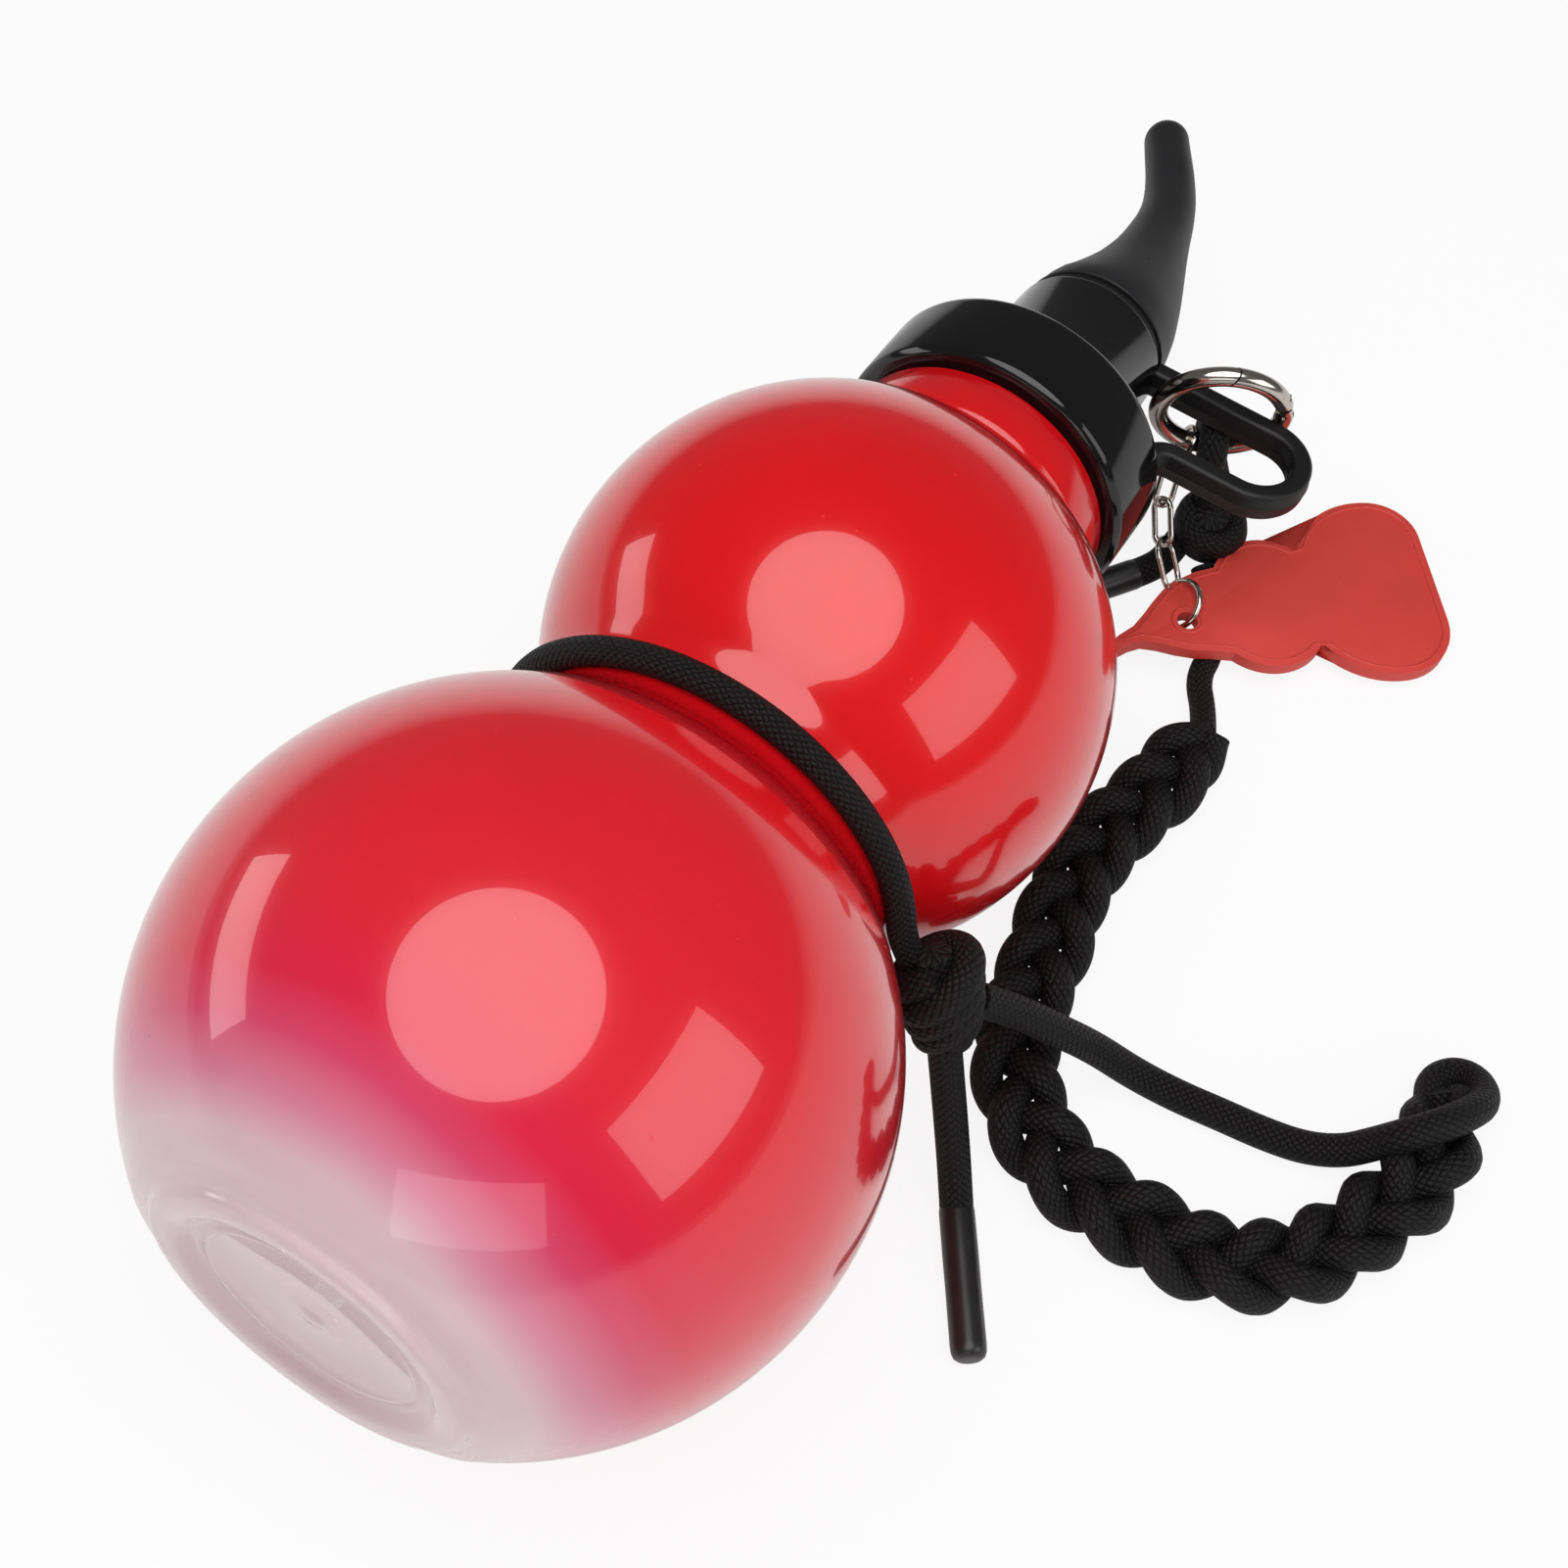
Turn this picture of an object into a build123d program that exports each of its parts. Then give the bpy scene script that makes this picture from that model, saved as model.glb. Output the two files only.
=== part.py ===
from build123d import *

import os
from math import acos, asin, atan2, cos, degrees, pi, radians, sin, sqrt, tan

os.makedirs("parts", exist_ok=True)

# The bottle lies on its side. The origin is where the lower bulb touches the table,
# +Z is up, +Y runs along the bottle towards its spout and +X is the side of the lanyard.
# Lengths are millimetres. "Along" means along the bottle's axis, measured from the foot.

# Bottle
lower_radius = 50.0
upper_radius = 42.1
bulb_spacing = 78.5
foot_share = 0.878
waist_blend = 15.0
wall = 2.0
foot_recess = 1.6
foot_ridge_width = 4.6
foot_groove_width = 2.0
foot_wall = 3.0
neck_radius = 22.3
neck_length = 9.4
groove_depth = 0.5
groove_length = 1.2
finish_radius = 19.9
rim_land = 5.6
bore_radius = 17.4
rim_round = 0.6

# Screw lid with its spout
lid_radius = 24.6
lid_gap = 1.1
lid_running_gap = 0.9
thread_pitch = 4.0
thread_turns = 1.5
lid_top = 3.0
lid_edge = 2.0
lid_bevel = 1.1
collar_radius = 14.4
collar_length = 23.1
collar_taper = 1.1
lip_round = 0.9
spout_bore = 10.6
gasket_thickness = 1.5
seat_gap = 0.1

# Horn stopper
plug_radius = 9.6
plug_depth = 11.5
plug_rib = 0.75
plug_rib_length = 1.6
plug_chamfer = 0.8
horn_base = 13.7
horn_length = 58.0

# Silicone strap
strap_width = 5.0
strap_thickness = 3.0
strap_slot = 11.9
strap_reach = 34.7
strap_drop = 5.0
strap_bend = 2.4
sleeve_wall = 1.6
sleeve_length = 5.6
eyelet_thickness = 1.5
fit_gap = 0.3

# Spring-gate ring
ring_radius = 10.1
ring_wire = 1.6
ring_back = 9.268
ring_ahead = 6.835
ring_above = 1.254
ring_yaw = 25.8
ring_lean = 8.6
hinge_angle = 17.0
latch_angle = 89.0
gate_gap = 0.25
gate_open = 22.0
tongue_thickness = 1.2
tongue_radius = 1.1
pin_setback = 1.3
pin_radius = 0.45
pin_gap = 0.04
spring_radius = 0.75
spring_wall = 0.35
spring_length = 3.4
spring_gap = 0.05
spring_setback = 2.4

# Chain and tag
link_wire = 0.5
link_gap = 0.1
link_width = 3.4
round_link_width = 6.2
first_link_width = 4.9
chain_angle = 246.0
chain_bow = 3.4
jump_radius = 4.2
jump_tilt = 38.0
tag_thickness = 2.4
tag_hole = 1.75
tag_small_radius = 12.4
tag_big_radius = 17.6
tag_small_center = 14.8
tag_big_center = 35.2
tag_end = 46.1
tag_rise = 0.6
tag_neck = 4.8
tag_neck_end = 2.4
tag_stem = 11.2
tag_stem_tip = 1.5
tag_drop = 3.6
tag_blend = 2.6
tag_across = 8.9
tag_behind = 22.2
tag_height = 7.4
tag_yaw = 41.5

# Lanyard
cord_radius = 2.0
knot_radius = 5.6
cord_end_radius = 2.35
cord_end_length = 22.6
short_end_length = 13.6
cord_end_round = 0.8
braid_width = 13.0
braid_height = 8.5
waist_clearance = 0.4
waist_cord_shift = 1.6
run_share = 0.45
hitch_share = 0.49
hitch_angle = 269.0
hitch_spread = 1.05
hitch_drop = 5.0
hitch_start_offset = (-0.5, 0.2, 4.5)
hitch_end_offset = (-0.6, 3.4, 3.6)
tail_aim = (63.9, 11.1, 2.35)
upper_tail_aim = (12.9, 135.4, 2.35)
top_knot_across = 2.6
top_knot_behind = 3.4
top_knot_height = 5.7


# Places along the axis and the planes that hold the profiles
foot_to_lower = foot_share * lower_radius
finish_length = thread_turns * thread_pitch + rim_land
tilt = asin((lower_radius - upper_radius) / bulb_spacing)
axis_direction = Vector(0, cos(tilt), -sin(tilt))
foot_center = Vector(0, -foot_to_lower * cos(tilt), lower_radius + foot_to_lower * sin(tilt))
bottle_axis = Axis(foot_center, axis_direction)
side = Plane(foot_center, x_dir=axis_direction, z_dir=(1, 0, 0))

upper_center = foot_to_lower + bulb_spacing
lower_reach = lower_radius + waist_blend
upper_reach = upper_radius + waist_blend
waist_share = (lower_reach**2 - upper_reach**2 + bulb_spacing**2) / (2 * bulb_spacing**2)
waist_along = foot_to_lower + waist_share * bulb_spacing
waist_center_radius = sqrt(lower_reach**2 - (waist_along - foot_to_lower) ** 2)
lower_tangent = degrees(atan2(waist_center_radius, waist_along - foot_to_lower))
upper_tangent = 180 - degrees(atan2(waist_center_radius, upper_center - waist_along))
foot_radius = sqrt(lower_radius**2 - foot_to_lower**2)
neck_start = upper_center + sqrt(upper_radius**2 - neck_radius**2)
finish_start = neck_start + neck_length
rim_along = finish_start + finish_length
lid_start = finish_start + lid_gap
lid_under = rim_along + seat_gap + gasket_thickness
lid_end = lid_under + lid_top
lip_along = lid_end + collar_length
lip_radius = collar_radius - collar_taper
cap_bore = finish_radius + lid_running_gap


def across(distance):
    """Plane square to the bottle's axis, this far from the foot."""
    return Plane(foot_center + axis_direction * distance, x_dir=(1, 0, 0), z_dir=axis_direction)


def gourd_outline(inset, start_along, end_radius):
    """Lower bulb, waist and upper bulb as three tangent arcs, moved in by the inset."""
    low = lower_radius - inset
    high = upper_radius - inset
    start_angle = 180 - degrees(acos((foot_to_lower - start_along) / low))
    end_angle = degrees(asin(end_radius / high))
    turn = upper_tangent - lower_tangent
    CenterArc((foot_to_lower, 0), low, start_angle, lower_tangent - start_angle)
    CenterArc((waist_along, waist_center_radius), waist_blend + inset, lower_tangent + 180, turn)
    CenterArc((upper_center, 0), high, upper_tangent, end_angle - upper_tangent)


# Bottle: a gourd of even wall, open at the neck, with a recessed foot
inner_start = foot_recess + foot_wall
inner_foot = sqrt((lower_radius - wall) ** 2 - (foot_to_lower - inner_start) ** 2)
inner_neck = upper_center + sqrt((upper_radius - wall) ** 2 - bore_radius**2)
ridge_radius = foot_radius - foot_ridge_width
with BuildPart() as bottle_shell:
    with BuildSketch(side):
        with BuildLine():
            Polyline(
                (foot_recess, 0),
                (foot_recess, ridge_radius - foot_groove_width),
                (0, ridge_radius),
                (0, foot_radius),
            )
            gourd_outline(0, 0, neck_radius)
            Polyline(
                (neck_start, neck_radius),
                (neck_start + groove_length, neck_radius - groove_depth),
                (neck_start + 2 * groove_length, neck_radius),
                (finish_start, neck_radius),
                (finish_start, finish_radius),
                (rim_along, finish_radius),
                (rim_along, 0),
                (foot_recess, 0),
            )
        make_face()
    revolve(axis=bottle_axis)
    with BuildSketch(side):
        with BuildLine():
            Polyline((inner_start, 0), (inner_start, inner_foot))
            gourd_outline(wall, inner_start, bore_radius)
            Polyline(
                (inner_neck, bore_radius),
                (rim_along, bore_radius),
                (rim_along, 0),
                (inner_start, 0),
            )
        make_face()
    revolve(axis=bottle_axis, mode=Mode.SUBTRACT)
    chamfer(bottle_shell.edges().group_by(bottle_axis)[-1], rim_round)
bottle_shell.part.label = "bottle_shell"
export_step(bottle_shell.part, "parts/bottle_shell.step")


# Lid: a cap whose top carries the spout's collar in one moulding
with BuildPart() as lid:
    with BuildSketch(side):
        with BuildLine():
            Polyline(
                (lid_start, cap_bore),
                (lid_start, lid_radius - lid_bevel),
                (lid_start + lid_bevel, lid_radius),
                (lid_end - lid_edge, lid_radius),
            )
            CenterArc((lid_end - lid_edge, lid_radius - lid_edge), lid_edge, 90, -90)
            Polyline(
                (lid_end, lid_radius - lid_edge),
                (lid_end, collar_radius),
                (lip_along - lip_round, lip_radius),
            )
            CenterArc((lip_along - lip_round, lip_radius - lip_round), lip_round, 90, -90)
            Polyline(
                (lip_along, lip_radius - lip_round),
                (lip_along, spout_bore),
                (lid_under, spout_bore),
                (lid_under, cap_bore),
                (lid_start, cap_bore),
            )
        make_face()
    revolve(axis=bottle_axis)
lid.part.label = "lid"
export_step(lid.part, "parts/lid.step")

# Gasket: a flat ring under the lid's top, over the bottle's rim
with BuildPart() as lid_gasket:
    with BuildSketch(across(lid_under)):
        Circle(cap_bore - fit_gap)
        Circle(bore_radius, mode=Mode.SUBTRACT)
    extrude(amount=-gasket_thickness)
lid_gasket.part.label = "lid_gasket"
export_step(lid_gasket.part, "parts/lid_gasket.step")


# Horn stopper: a curved cone on a plug with two sealing ribs
eyelet_along = lip_along + seat_gap
horn_start = eyelet_along + eyelet_thickness + seat_gap
plug_end = horn_start - plug_depth
strap_out = Vector(cos(radians(strap_drop)), 0, 0) - sin(radians(strap_drop)) * side.y_dir
horn_plane = Plane(foot_center, x_dir=axis_direction, z_dir=axis_direction.cross(strap_out))
# Each section as shares: its place in the horn's length, its lean in the length, its radius in the base's
horn_shares = (
    (0.015, 0.0, 1.0),
    (0.215, 0.002, 0.737),
    (0.394, -0.009, 0.493),
    (0.55, -0.034, 0.377),
    (0.684, -0.076, 0.319),
    (0.776, -0.121, 0.28),
    (0.853, -0.166, 0.266),
    (0.947, -0.217, 0.248),
)


def horn_place(share, lean):
    """A point on the horn's centre line."""
    along = horn_start + share * horn_length
    return foot_center + axis_direction * along + strap_out * (lean * horn_length)


horn_points = [horn_place(share, lean) for share, lean, _ in horn_shares]
horn_line = Spline(*horn_points, tangents=(axis_direction, horn_points[-1] - horn_points[-2]))
with BuildPart() as horn_stopper:
    with BuildSketch(across(horn_start)):
        Circle(horn_base - fit_gap)
    for index, (share, lean, radius_share) in enumerate(horn_shares):
        direction = horn_line.tangent_at(horn_line.param_at_point(horn_points[index]))
        with BuildSketch(Plane(horn_points[index], z_dir=direction)):
            Circle(radius_share * horn_base)
    loft()
    tip_plane = Plane(horn_points[-1], z_dir=horn_points[-1] - horn_points[-2])
    with Locations(tip_plane):
        Sphere(horn_shares[-1][2] * horn_base)
    with BuildSketch(side):
        with BuildLine():
            rib = plug_radius + plug_rib
            first_rib = plug_end + 2 * plug_chamfer
            second_rib = first_rib + 3 * plug_rib_length
            Polyline(
                (plug_end, 0),
                (plug_end, plug_radius - plug_chamfer),
                (plug_end + plug_chamfer, plug_radius),
                (first_rib, plug_radius),
                (first_rib + plug_rib_length / 2, rib),
                (first_rib + plug_rib_length, plug_radius),
                (second_rib, plug_radius),
                (second_rib + plug_rib_length / 2, rib),
                (second_rib + plug_rib_length, plug_radius),
                (horn_start, plug_radius),
                (horn_start, 0),
                (plug_end, 0),
            )
        make_face()
    revolve(axis=bottle_axis)
horn_stopper.part.label = "horn_stopper"
export_step(horn_stopper.part, "parts/horn_stopper.step")


# Strap: a sleeve turning on the collar, an open loop and an eyelet under the horn
sleeve_start = lid_end + fit_gap
sleeve_middle = sleeve_start + sleeve_length / 2
sleeve_bore = collar_radius + fit_gap
sleeve_radius = sleeve_bore + sleeve_wall
upper_leg = eyelet_along + eyelet_thickness - strap_thickness / 2 - seat_gap
lower_leg = upper_leg - strap_slot - strap_thickness
leg_start = lip_radius + fit_gap
strap_bend_radius = (upper_leg - lower_leg) / 2
with BuildPart() as strap:
    with BuildSketch(horn_plane):
        with BuildLine():
            FilletPolyline(
                (sleeve_middle, sleeve_radius - sleeve_wall / 2),
                (sleeve_middle, sleeve_radius + strap_thickness),
                (lower_leg, lid_radius + strap_thickness / 2),
                (lower_leg, strap_reach),
                radius=strap_bend,
            )
            CenterArc((lower_leg + strap_bend_radius, strap_reach), strap_bend_radius, 180, -180)
            Line((upper_leg, strap_reach), (upper_leg, leg_start))
        trace(line_width=strap_thickness)
    extrude(amount=strap_width / 2, both=True)
    with BuildSketch(across(sleeve_start)):
        Circle(sleeve_radius)
        Circle(sleeve_bore, mode=Mode.SUBTRACT)
    extrude(amount=sleeve_length)
    with BuildSketch(across(eyelet_along)):
        Circle(leg_start + fit_gap)
        Circle(spout_bore, mode=Mode.SUBTRACT)
    extrude(amount=eyelet_thickness)
strap.part.label = "strap"
export_step(strap.part, "parts/strap.step")


# Spring-gate ring: a steel ring with a gate that swings inwards on a pin
ring_facing = Vector(
    sin(radians(ring_yaw)) * cos(radians(ring_lean)),
    -cos(radians(ring_yaw)) * cos(radians(ring_lean)),
    -sin(radians(ring_lean)),
)
ring_level = Vector(cos(radians(ring_yaw)), sin(radians(ring_yaw)), 0)
strap_loop = horn_plane.from_local_coords((lower_leg + strap_bend_radius, strap_reach, 0))
ring_center = strap_loop + Vector(-ring_back, ring_ahead, ring_above)
ring_plane = Plane(ring_center, x_dir=ring_level, z_dir=ring_facing)
ring_axis = Axis(ring_plane.origin, ring_facing)
gap_angle = degrees(gate_gap / ring_radius)
pin_angle = hinge_angle - degrees(pin_setback / ring_radius)
spare_angle = degrees(2 * ring_wire / ring_radius)


def ring_point(angle, reach=ring_radius):
    """A point on the ring's plane at this angle and distance from its centre."""
    return ring_plane.from_local_coords((reach * cos(radians(angle)), reach * sin(radians(angle)), 0))


def ring_tangent(angle):
    """The direction along the ring's wire."""
    return ring_plane.y_dir * cos(radians(angle)) - ring_plane.x_dir * sin(radians(angle))


def ring_section(angle):
    """Plane across the ring's wire."""
    return Plane(ring_point(angle), x_dir=ring_facing, z_dir=ring_tangent(angle))


def ring_end(angle):
    """Plane flat in the ring, its x along the wire and its y towards the ring's centre."""
    return Plane(ring_point(angle), x_dir=ring_tangent(angle), z_dir=ring_facing)


gate_chord = (ring_point(latch_angle) - ring_point(pin_angle)).normalized()
latch_plane = Plane(ring_point(latch_angle), x_dir=gate_chord, z_dir=ring_facing)
slot_depth = pin_setback + tongue_radius + gate_gap
cutter = 6 * ring_wire
with BuildPart() as clip_ring:
    with BuildSketch(ring_section(latch_angle - spare_angle)):
        Circle(ring_wire)
    revolve(axis=ring_axis, revolution_arc=360 + hinge_angle - latch_angle + spare_angle)
    with BuildSketch(latch_plane):
        with Locations((gate_gap / 2 - cutter / 2, 0)):
            Rectangle(cutter, cutter)
    extrude(amount=ring_wire, both=True, mode=Mode.SUBTRACT)
    with BuildSketch(ring_end(hinge_angle)):
        Rectangle(2 * slot_depth, cutter)
    extrude(amount=tongue_thickness / 2 + gate_gap, both=True, mode=Mode.SUBTRACT)
    with BuildSketch(ring_end(pin_angle).offset(-2 * ring_wire)):
        Circle(pin_radius + pin_gap)
    extrude(amount=4 * ring_wire, mode=Mode.SUBTRACT)
clip_ring.part.label = "clip_ring"
export_step(clip_ring.part, "parts/clip_ring.step")

# Gate: an arc of the same wire with a slanted heel, a tongue round the pin and a spring pocket
spring_plane = Plane(
    ring_point(hinge_angle + degrees(spring_setback / ring_radius)),
    x_dir=ring_facing,
    z_dir=ring_tangent(hinge_angle + degrees((spring_setback + spring_length / 2) / ring_radius)),
)
heel_cut = 3 * ring_wire * tan(radians(gate_open))
with BuildPart() as gate:
    with BuildSketch(ring_section(hinge_angle + gap_angle)):
        Circle(ring_wire)
    revolve(axis=ring_axis, revolution_arc=latch_angle + spare_angle - hinge_angle - gap_angle)
    with BuildSketch(latch_plane):
        with Locations((cutter / 2 - gate_gap / 2, 0)):
            Rectangle(cutter, cutter)
    extrude(amount=ring_wire, both=True, mode=Mode.SUBTRACT)
    with BuildSketch(ring_end(hinge_angle)):
        with BuildLine():
            Polyline(
                (0, -ring_wire),
                (gate_gap, -ring_wire),
                (gate_gap + heel_cut, 2 * ring_wire),
                (0, 2 * ring_wire),
                (0, -ring_wire),
            )
        make_face()
    extrude(amount=ring_wire, both=True, mode=Mode.SUBTRACT)
    with BuildSketch(ring_end(pin_angle)):
        Circle(tongue_radius)
        with Locations(((pin_setback + spring_setback) / 2, 0)):
            Rectangle(pin_setback + spring_setback, 2 * tongue_radius)
        Circle(pin_radius + pin_gap, mode=Mode.SUBTRACT)
    extrude(amount=tongue_thickness / 2, both=True)
    with BuildSketch(spring_plane):
        Circle(spring_radius + spring_gap)
    extrude(amount=spring_length, mode=Mode.SUBTRACT)
gate.part.label = "gate"
export_step(gate.part, "parts/gate.step")

with BuildPart() as gate_pin:
    with BuildSketch(ring_end(pin_angle)):
        Circle(pin_radius)
    extrude(amount=ring_wire - pin_radius / 2, both=True)
gate_pin.part.label = "gate_pin"
export_step(gate_pin.part, "parts/gate_pin.step")

with BuildPart() as gate_spring:
    with BuildSketch(spring_plane):
        Circle(spring_radius)
        Circle(spring_radius - spring_wall, mode=Mode.SUBTRACT)
    extrude(amount=spring_length)
gate_spring.part.label = "gate_spring"
export_step(gate_spring.part, "parts/gate_spring.step")


# Tag: a flat gourd silhouette lying on its far edge and on the lanyard
tag_slope = asin((tag_height - tag_thickness) / tag_end)
tag_outward = Vector(
    cos(radians(tag_yaw)) * cos(tag_slope),
    sin(radians(tag_yaw)) * cos(tag_slope),
    -sin(tag_slope),
)
tag_level = Vector(-sin(radians(tag_yaw)), cos(radians(tag_yaw)), 0)
tag_plane = Plane(
    (ring_center.X + tag_across, ring_center.Y - tag_behind, tag_height),
    x_dir=tag_outward,
    z_dir=tag_outward.cross(tag_level),
)
with BuildPart() as tag:
    with BuildSketch(tag_plane) as tag_face:
        with Locations((tag_small_center, tag_rise)):
            Circle(tag_small_radius)
        with Locations((tag_big_center, tag_rise)):
            Circle(tag_big_radius)
        with Locations(((tag_small_center - tag_neck_end) / 2, 0)):
            Rectangle(tag_small_center + tag_neck_end, 2 * tag_neck)
        with BuildLine():
            upper_edge = ThreePointArc(
                (0, tag_neck),
                (-tag_stem / 2, tag_drop / 4),
                (-tag_stem, -tag_drop + tag_stem_tip),
            )
            tip = ThreePointArc(
                upper_edge @ 1,
                (-tag_stem - tag_stem_tip, -tag_drop),
                (-tag_stem, -tag_drop - tag_stem_tip),
            )
            lower_edge = ThreePointArc(
                tip @ 1,
                (-tag_stem / 2, -tag_drop),
                (0, -tag_neck),
            )
            Line(lower_edge @ 1, upper_edge @ 0)
        make_face()
        with Locations((tag_end + tag_big_radius / 2, 0)):
            Rectangle(tag_big_radius, 2 * tag_big_radius + 2 * tag_big_radius, mode=Mode.SUBTRACT)
        waists = [v for v in tag_face.vertices() if 0 < v.X < tag_big_center]
        fillet(waists, tag_blend)
        Circle(tag_hole, mode=Mode.SUBTRACT)
    extrude(amount=-tag_thickness)
tag.part.label = "tag"
export_step(tag.part, "parts/tag.step")


# Jump ring: a round wire ring through the tag's hole and round its edge
jump_sideways = tag_plane.y_dir
jump_facing = -cos(radians(jump_tilt)) * tag_plane.x_dir + sin(radians(jump_tilt)) * tag_plane.z_dir
jump_center = tag_plane.origin - tag_plane.z_dir * (tag_thickness / 2) + jump_sideways * jump_radius
jump_plane = Plane(jump_center, x_dir=jump_sideways, z_dir=jump_facing)
jump_side = jump_center + jump_sideways * jump_radius
with BuildPart() as jump_ring:
    with BuildSketch(Plane(jump_side, x_dir=jump_sideways, z_dir=jump_plane.y_dir)):
        Circle(link_wire)
    revolve(axis=Axis(jump_center, jump_facing))
jump_ring.part.label = "jump_ring"
export_step(jump_ring.part, "parts/jump_ring.step")

# Chain: four links hung from the ring to the jump ring, each square to the one before
chain_shares = (0, 0.22, 0.48, 0.74, 1)
chain_start = ring_point(chain_angle)
chain_end = jump_side
chain_run = chain_end - chain_start
chain_joints = [
    chain_start + chain_run * share - Vector(chain_bow * sin(pi * share), 0, 0) for share in chain_shares
]
touch = link_wire + link_gap / 2
chain_widths = (first_link_width, link_width, link_width, round_link_width)
start_reaches = (ring_wire + link_wire + link_gap, touch, touch, touch)
end_reaches = (touch, touch, touch, 2 * link_wire + link_gap)
start_tangent = ring_tangent(chain_angle)


def square_to(direction, vector):
    """The part of a vector that is square to a direction, at unit length."""
    return (vector - direction * direction.dot(vector)).normalized()


last_down = (chain_joints[4] - chain_joints[3]).normalized()
last_across = square_to(last_down, start_tangent)
last_facing = square_to(last_down, jump_plane.y_dir)
whole_turn = degrees(atan2(last_down.cross(last_across).dot(last_facing), last_across.dot(last_facing)))
link_turn = whole_turn / 3 + 60 * round((90 - whole_turn / 3) / 60)
link_hinges = []
hinge_direction = start_tangent
for number in range(4):
    top = chain_joints[number]
    bottom = chain_joints[number + 1]
    down = (bottom - top).normalized()
    facing = square_to(down, start_tangent).rotate(Axis((0, 0, 0), down), number * link_turn)
    wire_start = top - down * start_reaches[number]
    wire_end = bottom + down * end_reaches[number]
    span = (wire_end - wire_start).length
    width = chain_widths[number]
    link_plane = Plane((wire_start + wire_end) / 2, x_dir=down, z_dir=facing)
    with BuildPart() as link:
        with BuildLine(link_plane):
            loop = FilletPolyline(
                (-span / 2, -width / 2),
                (span / 2, -width / 2),
                (span / 2, width / 2),
                (-span / 2, width / 2),
                radius=hitch_share * width,
                close=True,
            )
        with BuildSketch(Plane(loop @ 0, z_dir=loop % 0)):
            Circle(link_wire)
        sweep()
    name = f"chain_link_{number + 1}"
    link.part.label = name
    export_step(link.part, f"parts/{name}.step")
    link_hinges.append((top, hinge_direction))
    hinge_direction = link_plane.y_dir


# Lanyard: the cord's places on the table and in the air, chosen from the way it lies
tail_points = [
    (40.6, 41.6, 31.5),
    (42.8, 39.7, 23.0),
    (46.1, 36.2, 14.5),
    (48.9, 33.2, 6.4),
    (51.4, 29.8, 2.35),
]
free_points = [
    (43.0, 46.8, 32.6),
    (46.8, 50.6, 27.0),
    (52.0, 54.4, 20.0),
    (56.6, 58.9, 12.0),
    (61.8, 62.9, 5.2),
    (69.3, 65.2, 2.3),
    (77.0, 66.5, 2.02),
    (84.6, 67.2, 2.02),
    (92.0, 69.0, 2.02),
    (98.8, 71.6, 2.02),
    (104.2, 75.0, 2.02),
    (108.4, 79.4, 2.02),
    (111.0, 84.0, 2.02),
    (109.8, 87.6, 2.05),
    (106.2, 89.0, 2.3),
    (102.9, 87.1, 2.9),
    (102.2, 83.4, 3.6),
    (102.9, 81.0, 3.9),
]
braid_points = [
    (46.4, 121.5, 4.3),
    (45.2, 110.5, 4.3),
    (41.2, 97.5, 4.3),
    (40.4, 84.5, 4.3),
    (43.6, 72.0, 4.3),
    (44.6, 60.0, 4.3),
    (50.6, 48.6, 4.3),
    (62.2, 41.4, 4.3),
    (75.2, 40.6, 4.3),
    (88.2, 40.6, 4.3),
    (98.6, 48.0, 4.3),
    (104.2, 59.6, 4.3),
    (108.6, 71.2, 4.3),
    (104.8, 82.2, 4.3),
]
upper_points = [
    (46.3, 121.0, 3.6),
    (44.4, 127.4, 2.1),
    (40.2, 133.6, 2.02),
    (36.9, 140.4, 2.02),
    (31.8, 146.8, 2.02),
    (29.9, 152.5, 3.95),
]
upper_tail_points = [
    (25.0, 155.4, 5.0),
    (24.4, 151.6, 3.4),
    (22.9, 149.0, 2.5),
    (21.2, 146.7, 2.35),
]
waist_knot_center = Vector(39.6, 42.9, 35.9)
top_knot_center = Vector(ring_center.X + top_knot_across, ring_center.Y - top_knot_behind, top_knot_height)


def cord_radii(points, share=run_share):
    """The largest tangent arc at each inner point: a share of the shorter run over tan(half turn)."""
    radii = []
    for before, corner, after in zip(points, points[1:], points[2:]):
        first = Vector(corner) - Vector(before)
        second = Vector(after) - Vector(corner)
        half_turn = radians(first.get_angle(second)) / 2
        radii.append(share * min(first.length, second.length) / tan(half_turn))
    return radii


def cord_tube(name, points, share=run_share):
    """A cord of round section along straight runs and tangent arcs."""
    radii = cord_radii(points, share)
    with BuildPart() as tube:
        with BuildLine():
            route = FilletPolyline(*points, radius=radii)
        with BuildSketch(Plane(route @ 0, z_dir=route % 0)):
            Circle(cord_radius)
        sweep()
    print(name, "radii", [round(r, 1) for r in radii])
    tube.part.label = name
    export_step(tube.part, f"parts/{name}.step")
    return tube.part


def cord_end(name, start, toward, length):
    """A smooth sleeve shrunk over the end of the cord."""
    with BuildPart() as cap:
        with BuildSketch(Plane(start, z_dir=Vector(toward) - Vector(start))):
            Circle(cord_end_radius)
        extrude(amount=length)
        fillet(cap.edges().group_by(Axis(start, Vector(toward) - Vector(start)))[-1], cord_end_round)
    cap.part.label = name
    export_step(cap.part, f"parts/{name}.step")
    return cap.part


def knot(name, center):
    """A drawn-up knot as its round outer shape."""
    with BuildPart() as ball:
        with BuildSketch(Plane(center, x_dir=(1, 0, 0), z_dir=(0, 1, 0))):
            with BuildLine():
                CenterArc((0, 0), knot_radius, -90, 180)
                Line((0, knot_radius), (0, -knot_radius))
            make_face()
        revolve(axis=Axis(center, (0, 0, 1)))
    ball.part.label = name
    export_step(ball.part, f"parts/{name}.step")
    return ball.part


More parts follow.
